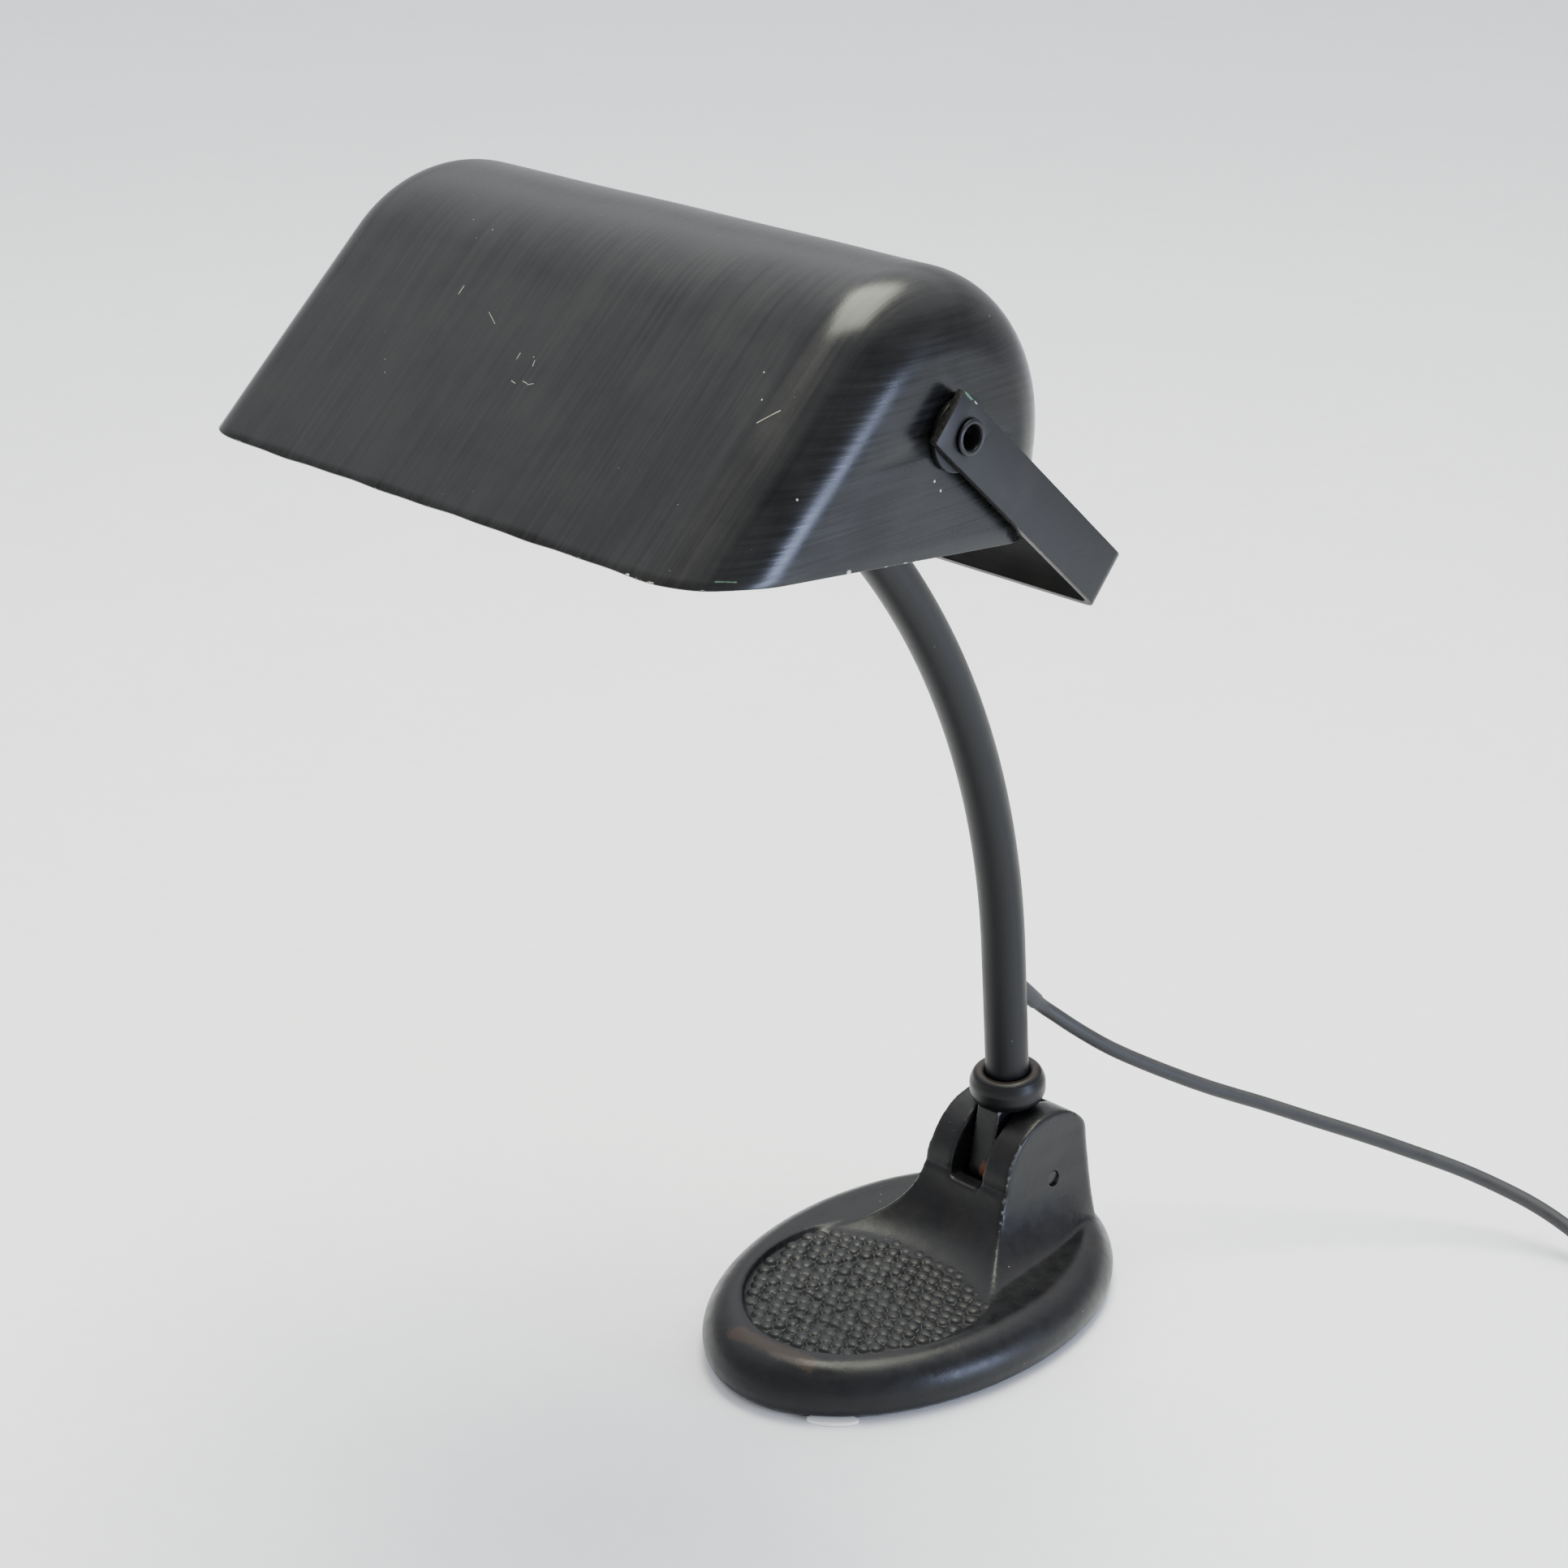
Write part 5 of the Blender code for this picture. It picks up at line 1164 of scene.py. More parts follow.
    def make(self, palette: Palette, nodes: dict[str, bpy.types.Object]) -> None:
        """Build every piece of the base.

        Args:
            palette: The lamp's finishes.
            nodes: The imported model's nodes, by name.
        """
        self.cast(palette)
        self.nubs(palette)
        felt = fine_copy(nodes, "base_felt", 0.3 * MM)
        dress(felt, palette.felt)
        fit(felt, Body.BASE, "felt", "base_felt")
        # A bleached bit of the felt peeks out under the front rim.
        tab = [(9.0 * MM * cos(2 * pi * i / 40), 3.0 * MM * sin(2 * pi * i / 40)) for i in range(40)]
        turn = (Matrix.Translation((31.0 * MM, -123.6 * MM, 0.0))
                @ Matrix.Rotation(radians(41.0), 4, "Z"))
        edge = make_object("felt_frayed_edge", prism(tab, 0.15 * MM, 1.35 * MM), turn)
        dress(edge, palette.worn_felt)
        fit(edge, Body.BASE, "felt")
        reach = self.fork_half + 0.5 * MM
        pin = rounded([(0.0, -reach), (self.pin_radius, -reach), (self.pin_radius, reach), (0.0, reach)],
                      0.6 * MM)
        across = Matrix.Translation(PIN) @ Matrix.Rotation(pi / 2, 4, "Y")
        piece = make_object("fork_pin_fine", turned(pin, 48), across)
        dress(piece, palette.iron_paint)
        fit(piece, Body.BASE, "steel", "fork_pin")


# ================================================================ stem
@dataclass
class Stem:
    """Knuckle, collar, bent tube, bracket and the pivots' small parts. Sizes are in metres."""

    tube_radius: float = 8.0 * MM
    tube_wall: float = 1.5 * MM
    tube_bottom: float = 28.2 * MM
    collar_bottom: float = 27.6 * MM
    collar_height: float = 11.7 * MM
    collar_radius: float = 14.1 * MM
    arm_beyond: float = 11.1 * MM
    bar_width: float = 17.2 * MM
    bend_radius: float = 5.5 * MM
    arm_inner_x: float = 115.3 * MM
    shade_half: float = 112.8 * MM
    shank_radius: float = 4.4 * MM
    bore_radius: float = 3.6 * MM
    rim_radius: float = 5.4 * MM
    relief_inside: float = 4.2 * MM
    relief_outside: float = 13.2 * MM

    def tube(self, palette: Palette) -> None:
        """Build the bent tube with the hole in its back for the cord.

        Args:
            palette: The lamp's finishes.
        """
        bm = bmesh.new()
        foot = STEM_FRAME @ Matrix.Translation((0.0, 0.0, self.tube_bottom))
        ring = bmesh.ops.create_circle(bm, cap_ends=False, radius=self.tube_radius, segments=72,
                                       matrix=foot)["verts"]
        edges = list({edge for vert in ring for edge in vert.link_edges})
        up = STEM_FRAME.to_3x3() @ Vector((0.0, 0.0, 1.0))
        for _ in range(8):
            grown = bmesh.ops.extrude_edge_only(bm, edges=edges)["geom"]
            verts = [g for g in grown if isinstance(g, bmesh.types.BMVert)]
            edges = [g for g in grown if isinstance(g, bmesh.types.BMEdge)]
            bmesh.ops.translate(bm, verts=verts, vec=up * (TUBE_STRAIGHT - self.tube_bottom) / 8)
        back = STEM_FRAME.to_3x3() @ Vector((0.0, 1.0, 0.0))
        centre = bend_point(STEM_LEAN) - TUBE_BEND_RADIUS * back
        bmesh.ops.spin(bm, geom=verts + edges, cent=centre, axis=(1, 0, 0),
                       angle=TUBE_END_ANGLE - STEM_LEAN, steps=56)
        bmesh.ops.remove_doubles(bm, verts=bm.verts, dist=1e-7)
        bmesh.ops.recalc_face_normals(bm, faces=bm.faces)
        probe = min(bm.faces, key=lambda face: face.calc_center_median().z)
        side = probe.calc_center_median() - foot.translation
        if probe.normal.dot(side) < 0:
            bmesh.ops.reverse_faces(bm, faces=bm.faces)
        tube = make_object("stem_tube_skin", bm)
        wall = tube.modifiers.new("wall", "SOLIDIFY")
        wall.thickness = self.tube_wall
        wall.offset = -1.0
        settle(tube)
        hole = turned([(0.0, -8 * MM), (3.6 * MM, -8 * MM), (3.6 * MM, 24 * MM), (0.0, 24 * MM)], 32)
        combine(tube, make_object("hole", hole, cord_exit_frame()), Cut.TAKE_AWAY)
        tube.data.shade_smooth()
        tube.data.set_sharp_from_angle(angle=radians(40))
        dress(tube, palette.stem_paint)
        fit(tube, Body.STEM, "black_paint", "stem_tube")

    def collar(self, palette: Palette) -> None:
        """Build the rounded ring nut at the tube's foot.

        Args:
            palette: The lamp's finishes.
        """
        low = self.collar_bottom
        high = low + self.collar_height
        outer = self.collar_radius
        bore = self.tube_radius + 0.1 * MM
        outline = rounded([
            (bore, low), (outer - 1.4 * MM, low), (outer - 0.1 * MM, low + 2.6 * MM),
            (outer, high - 4.2 * MM), (outer - 1.6 * MM, high - 0.9 * MM), (10.9 * MM, high),
            (9.6 * MM, high - 0.1 * MM), (bore + 0.5 * MM, high - 0.7 * MM), (bore, high - 1.2 * MM),
        ], 1.5 * MM, 6)
        collar = make_object("collar_ring_fine", turned(outline, 96), STEM_FRAME, sharp=60.0)
        self.mark_rim(collar, high)
        dress(collar, palette.collar_paint)
        fit(collar, Body.STEM, "black_paint", "collar_ring")

    @staticmethod
    def mark_rim(collar: bpy.types.Object, high: float) -> None:
        """Store wear on the collar's top rim, where hands rub it.

        Args:
            collar: The ring nut.
            high: Height of its top, in metres along the stem.
        """
        back = STEM_FRAME.inverted()
        layer = collar.data.attributes.new("wear_and_highlight", "FLOAT", "POINT")
        for vert, cell in zip(collar.data.vertices, layer.data):
            place = back @ vert.co
            near = 1.0 - abs(place.z - high + 0.2 * MM) / (1.3 * MM)
            inside = 1.0 - abs(hypot(place.x, place.y) - 10.2 * MM) / (2.6 * MM)
            cell.value = max(0.0, min(1.0, near)) * max(0.0, min(1.0, inside * 1.6))

    def knuckle(self, palette: Palette, nodes: dict[str, bpy.types.Object]) -> None:
        """Build the knuckle between the cheeks, with a rusty patch low on its front.

        Args:
            palette: The lamp's finishes.
            nodes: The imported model's nodes, by name.
        """
        piece = fine_copy(nodes, "pivot_knuckle")
        soften(piece, 0.55 * MM, 3)
        mark_wear(piece)
        dress(piece, palette.iron_paint)
        fit(piece, Body.STEM, "cast_iron_black", "pivot_knuckle")

    def bracket(self, palette: Palette) -> None:
        """Build the U-bracket from flat bar, with bored arms and a bored cross bar.

        Args:
            palette: The lamp's finishes.
        """
        end = -self.arm_beyond
        bar = ARM_LENGTH + BAR_THICKNESS / 2
        outer_x = self.arm_inner_x + BAR_THICKNESS
        outer = self.bend_radius
        inner = outer - BAR_THICKNESS
        steps = [(outer_x, bar + (end - bar) * i / 20) for i in range(20, 1, -1)]
        right_out = steps + arc((outer_x - outer, bar - outer), outer, 0.0, pi / 2, 14)
        left_out = [(-x, y) for x, y in reversed(right_out)]
        corner = (self.arm_inner_x - inner, bar - BAR_THICKNESS - inner)
        right_in = [(self.arm_inner_x, end)] + arc(corner, inner, 0.0, pi / 2, 14)
        left_in = [(-x, y) for x, y in reversed(right_in)]
        outline = right_out + left_out + list(reversed(left_in)) + list(reversed(right_in))
        bm = prism(outline, -self.bar_width / 2, self.bar_width / 2)
        piece = make_object("shade_bracket_fine", bm, BRACKET_FRAME)
        bore = [(0.0, -130 * MM), (self.shank_radius + 0.1 * MM, -130 * MM),
                (self.shank_radius + 0.1 * MM, 130 * MM), (0.0, 130 * MM)]
        combine(piece, make_object("bore", turned(bore, 48), PIVOT_FRAME), Cut.TAKE_AWAY)
        bore = [(0.0, -8 * MM), (4.9 * MM, -8 * MM), (4.9 * MM, 8 * MM), (0.0, 8 * MM)]
        combine(piece, make_object("bore", turned(bore, 32), STEM_TOP_FRAME), Cut.TAKE_AWAY)
        bevel = piece.modifiers.new("edges", "BEVEL")
        bevel.width = 0.35 * MM
        bevel.segments = 3
        bevel.limit_method = "ANGLE"
        bevel.angle_limit = radians(50)
        settle(piece)
        piece.data.shade_smooth()
        piece.data.set_sharp_from_angle(angle=radians(40))
        self.mark_bar_edges(piece)
        dress(piece, palette.bracket_paint)
        fit(piece, Body.STEM, "black_paint", "shade_bracket")

    def mark_bar_edges(self, piece: bpy.types.Object) -> None:
        """Store wear along the bar's long edges and ends.

        Args:
            piece: The bracket.
        """
        back = BRACKET_FRAME.inverted()
        layer = piece.data.attributes.new("wear_and_highlight", "FLOAT", "POINT")
        half = self.bar_width / 2
        for vert, cell in zip(piece.data.vertices, layer.data):
            place = back @ vert.co
            edge = 1.0 - (half - abs(place.z)) / (0.55 * MM)
            end = 1.0 - (place.y + self.arm_beyond) / (0.7 * MM)
            cell.value = max(0.0, min(1.0, max(edge, end))) * 0.8

    def pivots(self, palette: Palette) -> None:
        """Build both pivots: spacer washer, inner washer and hollow rivet.

        Args:
            palette: The lamp's finishes.
        """
        bore = self.shank_radius + 0.1 * MM
        outside = self.arm_inner_x + BAR_THICKNESS + SEAT_GAP
        low = self.shade_half + SEAT_GAP
        inner_high = self.shade_half - 0.9 * MM - SEAT_GAP
        inner_low = inner_high - 1.2 * MM
        inside = inner_low - SEAT_GAP
        spacer = rounded([(bore, low), (11.0 * MM, low), (11.0 * MM, low + 1.9 * MM),
                          (bore, low + 1.9 * MM)], 0.5 * MM)
        washer = rounded([(bore, inner_low), (8.0 * MM, inner_low), (8.0 * MM, inner_high),
                          (bore, inner_high)], 0.25 * MM)
        rivet = rounded([
            (self.bore_radius, inside - 1.0 * MM), (self.rim_radius - 0.3 * MM, inside - 1.0 * MM),
            (self.rim_radius, inside), (self.shank_radius, inside), (self.shank_radius, outside),
            (self.rim_radius, outside), (self.rim_radius - 0.1 * MM, outside + 0.8 * MM),
            (self.rim_radius - 0.9 * MM, outside + 1.05 * MM),
            (self.bore_radius + 0.35 * MM, outside + 0.9 * MM),
            (self.bore_radius, outside + 0.2 * MM)], 0.28 * MM)
        for word, turn in (("right", 0.0), ("left", pi)):
            frame = PIVOT_FRAME @ Matrix.Rotation(turn, 4, "Y")
            for name, outline in (("spacer_washer", spacer), ("inner_washer", washer),
                                  ("pivot_rivet", rivet)):
                piece = make_object(f"{name}_{word}_fine", turned(outline, 64), frame, sharp=60.0)
                dress(piece, palette.collar_paint if name == "pivot_rivet" else palette.stem_paint)
                fit(piece, Body.STEM, "black_paint", f"{name}_{word}")

    def relief(self, palette: Palette) -> None:
        """Build the tapered sleeve round the cord.

        Args:
            palette: The lamp's finishes.
        """
        bore = 2.8 * MM
        outline = rounded([(bore, -self.relief_inside), (3.5 * MM, -self.relief_inside),
                           (3.5 * MM, 3.0 * MM), (3.15 * MM, self.relief_outside),
                           (bore, self.relief_outside)], 0.3 * MM)
        piece = make_object("cord_relief_fine", turned(outline, 40), cord_exit_frame())
        dress(piece, palette.cord_rubber)
        fit(piece, Body.STEM, "rubber", "cord_relief")

    def make(self, palette: Palette, nodes: dict[str, bpy.types.Object]) -> None:
        """Build every piece of the stem's group.

        Args:
            palette: The lamp's finishes.
            nodes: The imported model's nodes, by name.
        """
        self.tube(palette)
        self.collar(palette)
        self.knuckle(palette, nodes)
        self.bracket(palette)
        self.pivots(palette)
        self.relief(palette)
        for node, slot, material in (
                ("friction_washer_left", "brass", palette.brass),
                ("friction_washer_right", "brass", palette.brass),
                ("stem_flex", "rubber", palette.cord_rubber), ("stem_nipple", "brass", palette.brass),
                ("tube_end_bush", "steel", palette.steel), ("lock_washer", "steel", palette.steel),
                ("lock_nut", "brass", palette.brass)):
            piece = fine_copy(nodes, node, 0.0 if node == "stem_flex" else 0.12 * MM)
            dress(piece, material)
            fit(piece, Body.STEM, slot, node)


# ================================================================ shade
@dataclass
class Shade:
    """Sheet-metal shade with its lampholder and bulb. Sizes are in metres."""

    half_length: float = 112.8 * MM
    sheet: float = 0.9 * MM
    crown_radius: float = 51.5 * MM
    crown_y: float = -2.0 * MM
    crown_z: float = -7.7 * MM
    front_y: float = -94.3 * MM
    mouth_z: float = -35.5 * MM
    end_radius: float = 22.5 * MM

    def section(self, offset: float) -> list[tuple[float, float]]:
        """Return the shade's section, drawn in by an offset, from its front edge to its back edge.

        Args:
            offset: How far it is drawn in, in metres.

        Returns:
            The points, as (y, z).
        """
        reach = hypot(self.crown_y - self.front_y, self.crown_z - self.mouth_z)
        slope = (atan2(self.crown_z - self.mouth_z, self.crown_y - self.front_y)
                 + asin(self.crown_radius / reach))
        radius = self.crown_radius - offset
        front = Vector((self.front_y + offset / sin(slope), self.mouth_z))
        crown = arc((self.crown_y, self.crown_z), radius, slope + pi / 2, 0.0, 60)
        start = Vector(crown[0])
        panel = [tuple(front.lerp(start, i / 26)) for i in range(26)]
        back_top = Vector(crown[-1])
        back_low = Vector((self.crown_y + radius, self.mouth_z))
        back = [tuple(back_top.lerp(back_low, i / 10)) for i in range(1, 11)]
        return panel + crown + back

    def place(self, along: float, up: float) -> tuple[float, float, float]:
        """Find a point on the shade's outside.

        Args:
            along: Distance from its middle towards its right end, in millimetres.
            up: Distance from the front edge of its mouth, along the sheet, in millimetres.

        Returns:
            The point in the lamp's frame, in metres.
        """
        past = max(0.0, abs(along) * MM - (self.half_length - self.end_radius))
        inset = self.end_radius - (self.end_radius ** 2 - past ** 2) ** 0.5
        line = [Vector(point) for point in self.section(inset)]
        left = up * MM
        for a, b in zip(line, line[1:]):
            run = (b - a).length
            if left <= run:
                break
            left -= run
        y, z = a.lerp(b, left / run)
        return tuple(SHADE_FRAME @ Vector((along * MM, y, z)))

    def stations(self) -> list[tuple[float, float]]:
        """Return each section's place along the shade and its inset.

        Returns:
            The places and insets, from the left end to the right.
        """
        radius = self.end_radius
        rounding = [(self.half_length - radius * (1 - cos(pi / 2 * i / 20)),
                     radius * (1 - sin(pi / 2 * i / 20))) for i in range(20)]
        straight = self.half_length - radius
        middle = [(-straight + 2 * straight * i / 60, 0.0) for i in range(61)]
        return [(-x, inset) for x, inset in rounding] + middle + list(reversed(rounding))

    def shell(self, palette: Palette) -> None:
        """Build the pressed shell: walls with slight hand-made waves, a thin rim, pivot holes.

        Args:
            palette: The lamp's finishes.
        """
        rings = [[(x, y, z) for y, z in self.section(inset)] for x, inset in self.stations()]
        bm = swept(rings, closed=False, caps=False)
        for x in (-self.half_length, self.half_length):
            rim = [e for e in bm.edges if e.is_boundary and all(abs(v.co.x - x) < 1e-7 for v in e.verts)]
            bmesh.ops.contextual_create(bm, geom=rim)
        bmesh.ops.recalc_face_normals(bm, faces=bm.faces)
        top = max(bm.faces, key=lambda face: face.calc_center_median().z)
        if top.normal.z < 0:
            bmesh.ops.reverse_faces(bm, faces=bm.faces)
        for vert in bm.verts:
            place = vert.co
            wave = (sin(place.x * 41.0 + 1.3) * sin(place.y * 57.0 + 0.4)
                    + 0.6 * sin(place.x * 97.0 + place.z * 63.0))
            if abs(place.x) < self.half_length - 0.5 * MM:
                vert.co += vert.normal * wave * 0.10 * MM
            if place.z < self.mouth_z + 0.3 * MM:
                vert.co.z += (0.16 * sin(place.x * 118.0)
                              + 0.10 * sin(place.x * 291.0 + place.y * 150.0)) * MM
        shell = make_object("shade_shell_skin", bm, SHADE_FRAME, sharp=50.0)
        wall = shell.modifiers.new("sheet", "SOLIDIFY")
        wall.thickness = self.sheet
        wall.offset = -1.0
        settle(shell)
        hole = [(0.0, -130 * MM), (4.5 * MM, -130 * MM), (4.5 * MM, 130 * MM), (0.0, 130 * MM)]
        combine(shell, make_object("hole", turned(hole, 48), PIVOT_FRAME), Cut.TAKE_AWAY)
        edge = shell.modifiers.new("rim", "BEVEL")
        edge.width = 0.22 * MM
        edge.segments = 2
        edge.limit_method = "ANGLE"
        edge.angle_limit = radians(60)
        settle(shell)
        shell.data.shade_smooth()
        shell.data.set_sharp_from_angle(angle=radians(50))
        dress(shell, palette.shade_paint)
        fit(shell, Body.SHADE, "black_paint", "shade_shell")

    def bulb(self, palette: Palette) -> None:
        """Build the bulb's glass and its screw cap, with a rounded thread.

        Args:
            palette: The lamp's finishes.
        """
        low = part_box("bulb_cap")[0][0]
        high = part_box("bulb_cap")[1][0]
        radius = 13.1 * MM
        thread = []
        turns = 5
        start = low + 5.0 * MM
        for i in range(turns * 8 + 1):
            z = start + i / 8 * 3.6 * MM
            thread.append((radius - 0.45 * MM - 0.45 * MM * cos(2 * pi * i / 8), z))
        outline = [(0.0, low), (3.6 * MM, low + 0.1 * MM), (4.8 * MM, low + 0.9 * MM),
                   (6.0 * MM, low + 1.2 * MM), (9.8 * MM, low + 3.6 * MM), (11.8 * MM, low + 4.4 * MM)]
        outline += thread
        outline += [(radius, high), (radius - 2.0 * MM, high), (radius - 2.0 * MM, low + 6.0 * MM),
                    (0.0, low + 6.0 * MM)]
        along = Matrix.Translation((0.0, PIVOT.y, PIVOT.z)) @ Matrix.Rotation(pi / 2, 4, "Y")
        cap = make_object("bulb_cap_fine", turned(outline, 64), along, sharp=50.0)
        dress(cap, palette.brass)
        fit(cap, Body.SHADE, "brass", "bulb_cap")

        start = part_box("bulb_glass")[0][0]
        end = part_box("bulb_glass")[1][0]
        ball = 22.4 * MM
        centre = end - ball
        neck = 12.5 * MM
        flare = asin((neck + 1.0 * MM) / ball)
        outside = arc((0.0, centre), ball, -pi / 2 + flare, pi / 2, 30)
        inside = arc((0.0, centre), ball - 1.0 * MM, pi / 2, -pi / 2 + flare, 30)
        outside[-1] = (0.0, outside[-1][1])
        inside[0] = (0.0, inside[0][1])
        outline = inside + [(neck - 1.0 * MM, start), (neck, start)] + outside
        glass = make_object("bulb_glass_fine", turned(outline, 72), along, sharp=60.0)
        dress(glass, palette.frosted_glass)
        fit(glass, Body.SHADE, "bulb_glass", "bulb_glass")

    def flex(self, palette: Palette) -> None:
        """Build the thin flex from the stem's tip round into the lampholder.

        Args:
            palette: The lamp's finishes.
        """
        tip = STEM_TOP_FRAME @ Vector((0.0, 0.0, BAR_THICKNESS / 2 + 7.6 * MM))
        ahead = STEM_TOP_FRAME @ Vector((0.0, 0.0, BAR_THICKNESS / 2 + 11.0 * MM))
        route = [tuple(tip), tuple(ahead)]
        for x, radius, angle in ((-2.0, 70.0, -47.5), (-7.0, 66.0, -56.0), (-17.0, 58.0, -64.0),
                                 (-31.0, 47.0, -67.0), (-47.0, 37.0, -62.0), (-62.0, 31.0, -52.0),
                                 (-77.0, 29.5, -44.0), (-89.0, 26.5, -40.0)):
            turn = radians(angle)
            route.append((x * MM, PIVOT.y + radius * MM * cos(turn), PIVOT.z + radius * MM * sin(turn)))
        tail = -92.5 * MM
        for x, back, down in ((-7.0, 15.5, -12.5), (-9.5, 9.0, -7.5), (-7.5, 2.6, -2.2),
                              (-3.0, 0.0, 0.0), (2.0, 0.0, 0.0)):
            route.append((tail + x * MM, PIVOT.y + back * MM, PIVOT.z + down * MM))
        piece = make_flex("lampholder_flex_fine", smooth_route(route, 2.0 * MM), 3.4 * MM)
        dress(piece, palette.cord_rubber)
        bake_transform(piece)
        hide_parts("lampholder_flex")
        LOG.info("%s: bends between stem and shade", piece.name)

    def make(self, palette: Palette, nodes: dict[str, bpy.types.Object]) -> None:
        """Build every piece of the shade's group.

        Args:
            palette: The lamp's finishes.
            nodes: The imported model's nodes, by name.
        """
        self.shell(palette)
        self.bulb(palette)
        self.flex(palette)
        for node, slot, material, bevel in (
                ("lampholder_strap", "steel", palette.steel, 0.2),
                ("strap_rivet_lower", "steel", palette.steel, 0.2),
                ("strap_rivet_upper", "steel", palette.steel, 0.2),
                ("holder_nipple", "brass", palette.brass, 0.15),
                ("holder_nut", "brass", palette.brass, 0.25),
                ("lampholder_cap", "bakelite", palette.bakelite, 0.5),
                ("lampholder_skirt", "bakelite", palette.bakelite, 0.3),
                ("lampholder_insert", "porcelain", palette.porcelain, 0.4),
                ("centre_contact", "brass", palette.brass, 0.15),
                ("screw_shell", "brass", palette.brass, 0.1)):
            piece = fine_copy(nodes, node, bevel * MM)
            dress(piece, material)
            fit(piece, Body.SHADE, slot, node)


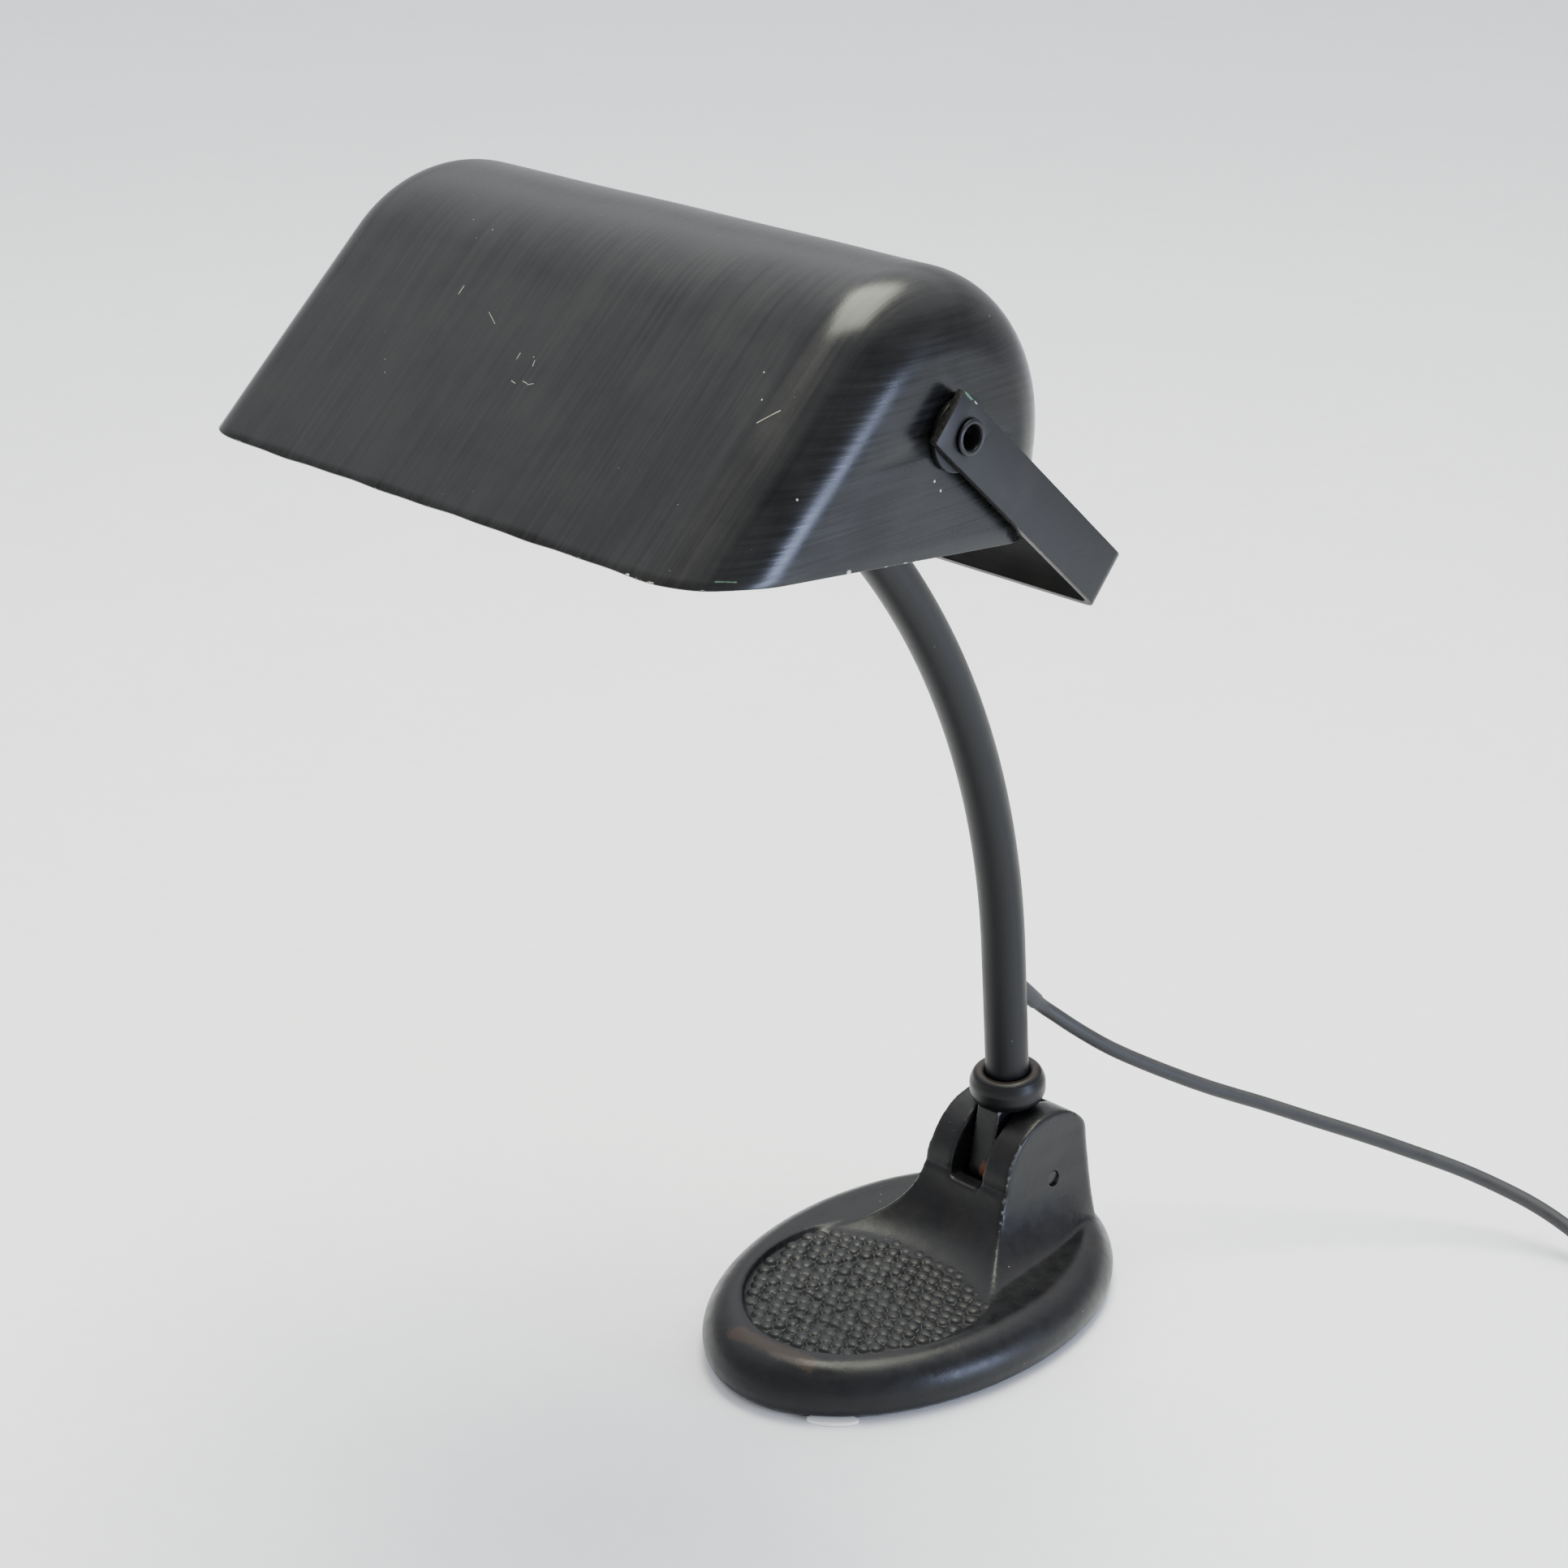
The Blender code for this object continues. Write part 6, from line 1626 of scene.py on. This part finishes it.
# ================================================================ cord
@dataclass
class Cord:
    """The free cord: lead, coil, tie and plug. Sizes are in metres."""

    diameter: float = 5.5 * MM
    centre: tuple[float, float] = (225.0 * MM, 189.3 * MM)
    entry_radius: float = 38.8 * MM
    inner_radius: float = 22.0 * MM
    exit_radius: float = 41.6 * MM
    low_z: float = 3.95 * MM
    high_z: float = 9.65 * MM
    plug_z: float = 7.2 * MM
    outer_radius: float = 44.6 * MM
    lead: tuple[tuple[float, float, float], ...] = (
        (0.0020, 0.0240, 0.0943), (0.0070, 0.0330, 0.0860), (0.0155, 0.0430, 0.0775),
        (0.0265, 0.0565, 0.0685), (0.0395, 0.0720, 0.0595), (0.0535, 0.0875, 0.0520),
        (0.0680, 0.1015, 0.0450), (0.0825, 0.1140, 0.0390), (0.0970, 0.1255, 0.0330),
        (0.1115, 0.1355, 0.0275), (0.1250, 0.1425, 0.0225), (0.1380, 0.1470, 0.0180),
        (0.1510, 0.1495, 0.0130), (0.1660, 0.1506, 0.0066), (0.1800, 0.1508, 0.0036),
        (0.1900, 0.1507, 0.0034), (0.1984, 0.1505, 0.0039))

    def coil_route(self) -> list[tuple[float, float, float]]:
        """Return points of the coil: inwards on the surface, up, and outwards on top.

        Returns:
            The points, in metres.
        """
        points = []
        per_turn = 24
        inward, climb, outward = 3.0, 1.0, 3.5
        total = int((inward + climb + outward) * per_turn)
        for i in range(1, total + 1):
            turns = i / per_turn
            angle = -pi / 2 + 2 * pi * turns
            if turns <= inward:
                share = turns / inward
                radius = self.entry_radius + (self.inner_radius - self.entry_radius) * share
                z = self.low_z
            elif turns <= inward + climb:
                share = turns - inward
                radius = self.inner_radius
                z = self.low_z + (self.high_z - self.low_z) * (3 - 2 * share) * share ** 2
            else:
                share = (turns - inward - climb) / outward
                radius = self.inner_radius + (self.exit_radius - self.inner_radius) * share
                z = self.high_z
            points.append((self.centre[0] + radius * cos(angle), self.centre[1] + radius * sin(angle), z))
        return points

    def make(self, palette: Palette, nodes: dict[str, bpy.types.Object]) -> None:
        """Build the whole cord with its tie and plug.

        Args:
            palette: The lamp's finishes.
            nodes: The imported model's nodes, by name.
        """
        out = cord_exit_frame()
        start = [tuple(out @ Vector((0.0, 0.0, 13.2 * MM + ahead))) for ahead in (0.4 * MM, 5.0 * MM)]
        entry = [(self.centre[0] - 13.0 * MM, self.centre[1] - self.entry_radius, self.low_z),
                 (self.centre[0], self.centre[1] - self.entry_radius, self.low_z)]
        back = self.centre[1] + self.exit_radius
        inside = self.exit_radius - self.diameter / 2
        tail_x = self.centre[0] - (self.outer_radius ** 2 - inside ** 2) ** 0.5 - 0.5 * MM
        relief_x = tail_x - 10.0 * MM
        leave = [(self.centre[0] - 11.0 * MM, back, self.high_z), (tail_x, back, self.high_z),
                 (tail_x - 3.0 * MM, back, self.high_z - 0.5 * MM), (relief_x + 3.5 * MM, back, self.plug_z),
                 (relief_x - 0.4 * MM, back, self.plug_z)]
        route = start + list(self.lead) + entry + self.coil_route() + leave
        points = smooth_route(route, 2.5 * MM)
        length = sum((b - a).length for a, b in zip(points, points[1:]))
        cord = make_flex("cord_whole", points, self.diameter)
        dress(cord, palette.cord_rubber)
        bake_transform(cord)
        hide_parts("cord_lead", "cord_coil", "cord_tail")
        LOG.info("cord_whole: %.3f m long", length)
        tie = self.tie(palette)
        plug = self.plug(palette, relief_x - 0.6 * MM, back)
        for word in ("left", "right"):
            pin = fine_copy(nodes, f"plug_pin_{word}", 0.25 * MM)
            dress(pin, palette.brass)
            fit(pin, Body.BASE, "brass", f"plug_pin_{word}")

    def tie(self, palette: Palette) -> bpy.types.Object:
        """Build the strap that holds the coil's turns together.

        Args:
            palette: The lamp's finishes.

        Returns:
            The strap.
        """
        low = 1.2 * MM - 0.3 * MM
        high = 12.6 * MM + 0.3 * MM
        left = 18.2 * MM
        right = self.outer_radius + 0.4 * MM
        corner = 2.4 * MM
        thick = 0.7 * MM
        inner = []
        outer = []
        for cx, cz, start in ((right - corner, high - corner, 0.0), (left + corner, high - corner, pi / 2),
                              (left + corner, low + corner, pi), (right - corner, low + corner, 1.5 * pi)):
            inner += arc((cx, cz), corner, start, start + pi / 2, 6)
            outer += arc((cx, cz), corner + thick, start, start + pi / 2, 6)
        rings = []
        for row, y in ((inner, -4.0), (outer, -4.0), (outer, 4.0), (inner, 4.0), (inner, -4.0)):
            rings.append([(x, y * MM, z) for x, z in row])
        bm = swept(rings, caps=False)
        bmesh.ops.remove_doubles(bm, verts=bm.verts, dist=1e-6)
        bmesh.ops.recalc_face_normals(bm, faces=bm.faces)
        place = Matrix.Translation((*self.centre, 0.0)) @ Matrix.Rotation(radians(20), 4, "Z")
        piece = make_object("cord_tie_fine", bm, place)
        dress(piece, palette.woven_strap)
        return fit(piece, Body.BASE, "tie_strap", "cord_tie")

    def plug(self, palette: Palette, end: float, back: float) -> bpy.types.Object:
        """Build the flat plug with its ribbed, tapered relief.

        Args:
            palette: The lamp's finishes.
            end: Where the cord enters, along X.
            back: The plug's middle, along Y.

        Returns:
            The plug.
        """
        body_x = end - 20.0 * MM
        front = body_x - 35.0 * MM
        rings = []
        for i in range(25):
            share = i / 24
            swell = 0.35 * MM * (1 if i % 4 in (1, 2) else 0)
            rings.append((end - 20.0 * MM * share, 3.2 * MM + 2.4 * MM * share ** 2 + swell,
                          3.2 * MM + 1.4 * MM * share ** 2 + swell * 0.7))
        profile = ((0.8, 6.0, 5.0), (3.0, 7.8, 5.9), (6.0, 9.6, 6.5), (10.0, 11.2, 6.8), (15.0, 12.3, 6.85),
                   (20.0, 12.8, 6.85), (26.0, 13.0, 6.85), (33.6, 13.0, 6.85), (34.6, 12.7, 6.6),
                   (35.0, 12.0, 6.0))
        rings += [(body_x - x * MM, wide * MM, tall * MM) for x, wide, tall in profile]
        loops = []
        for x, wide, tall in rings:
            corner = 0.6 * tall
            loop = []
            for sy, sz, start in ((1, 1, 0.0), (-1, 1, pi / 2), (-1, -1, pi), (1, -1, 1.5 * pi)):
                loop += arc((sy * (wide - corner), sz * (tall - corner)), corner, start, start + pi / 2, 7)
            loops.append([(x, back + y, self.plug_z + z) for y, z in loop])
        piece = make_object("plug_body_fine", swept(loops), sharp=50.0)
        dress(piece, palette.plug_rubber)
        LOG.info("plug front at %.4f", front)
        return fit(piece, Body.BASE, "rubber", "plug_body")


# ================================================================ studio
@dataclass
class Studio:
    """Plain floor, soft light and the camera. Places are in metres."""

    eye: tuple[float, float, float] = (0.7060, -0.8436, 0.6592)
    aim: tuple[float, float, float] = (-0.0586, -0.0571, 0.1927)
    lens: float = 77.45
    roll: float = 0.27

    def camera(self) -> None:
        """Place the camera."""
        data = bpy.data.cameras.new("studio_camera")
        data.lens = self.lens
        data.sensor_width = 36.0
        data.clip_end = 50.0
        camera = bpy.data.objects.new("studio_camera", data)
        bpy.context.scene.collection.objects.link(camera)
        way = Vector(self.aim) - Vector(self.eye)
        turn = way.to_track_quat("-Z", "Y").to_matrix().to_4x4()
        camera.matrix_world = (Matrix.Translation(self.eye) @ turn
                               @ Matrix.Rotation(radians(self.roll), 4, "Z"))
        bpy.context.scene.camera = camera

    def floor(self) -> None:
        """Lay a wide pale floor."""
        bm = bmesh.new()
        bmesh.ops.create_grid(bm, x_segments=8, y_segments=8, size=6.0)
        floor = make_object("studio_floor", bm, Matrix.Translation((0.0, 0.0, -0.1 * MM)))
        paper = Plain(name="matte_paper_backdrop", deep="#ecedf1", light="#f1f2f5", gloss=(0.85, 0.95),
                      grain_mm=60.0, depth_mm=0.0)
        dress(floor, paper.build())

    @staticmethod
    def lamp(name: str, place: tuple[float, float, float], aim: tuple[float, float, float],
             size: tuple[float, float], power: float, colour: str) -> None:
        """Hang one soft box.

        Args:
            name: Its name.
            place: Where it hangs.
            aim: The point that it faces.
            size: Its width and height.
            power: Its power in watts.
            colour: Its colour, as a hex value.
        """
        data = bpy.data.lights.new(name, "AREA")
        data.shape = "RECTANGLE"
        data.size, data.size_y = size
        data.energy = power
        data.color = linear(colour)[:3]
        light = bpy.data.objects.new(name, data)
        light.visible_camera = False
        bpy.context.scene.collection.objects.link(light)
        way = Vector(aim) - Vector(place)
        light.matrix_world = Matrix.Translation(place) @ way.to_track_quat("-Z", "Y").to_matrix().to_4x4()

    def light(self) -> None:
        """Light the lamp: a big box overhead, a warm one nearer and a cool one from the right."""
        world = bpy.data.worlds.new("studio_world")
        world.use_nodes = True
        ground = world.node_tree.nodes["Background"]
        ground.inputs["Color"].default_value = linear("#f4f6fa")
        ground.inputs["Strength"].default_value = 0.88
        bpy.context.scene.world = world
        self.lamp("ceiling_box", (-1.4, 1.5, 3.2), (-1.4, 1.5, 0.0), (7.0, 7.0), 150.0, "#f6f8ff")
        self.lamp("key_box", (-0.12, 0.05, 1.95), (0.0, -0.15, 0.35), (0.95, 1.25), 72.0, "#fafbe9")
        self.lamp("window_box", (1.2, 0.22, 0.22), (0.05, -0.15, 0.3), (0.34, 0.34), 12.5, "#c8d8ff")

    def make(self) -> None:
        """Set up the camera, the floor and the light."""
        self.camera()
        self.floor()
        self.light()


def main() -> None:
    """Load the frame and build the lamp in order."""
    logging.basicConfig(level=logging.INFO, format="%(message)s")
    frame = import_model()
    nodes = frame["nodes"]
    studio = Studio()
    studio.make()
    palette = Palette()
    Cord().make(palette, nodes)
    Base().make(palette, nodes)
    Stem().make(palette, nodes)
    Shade().make(palette, nodes)


if __name__ == "__main__":
    main()
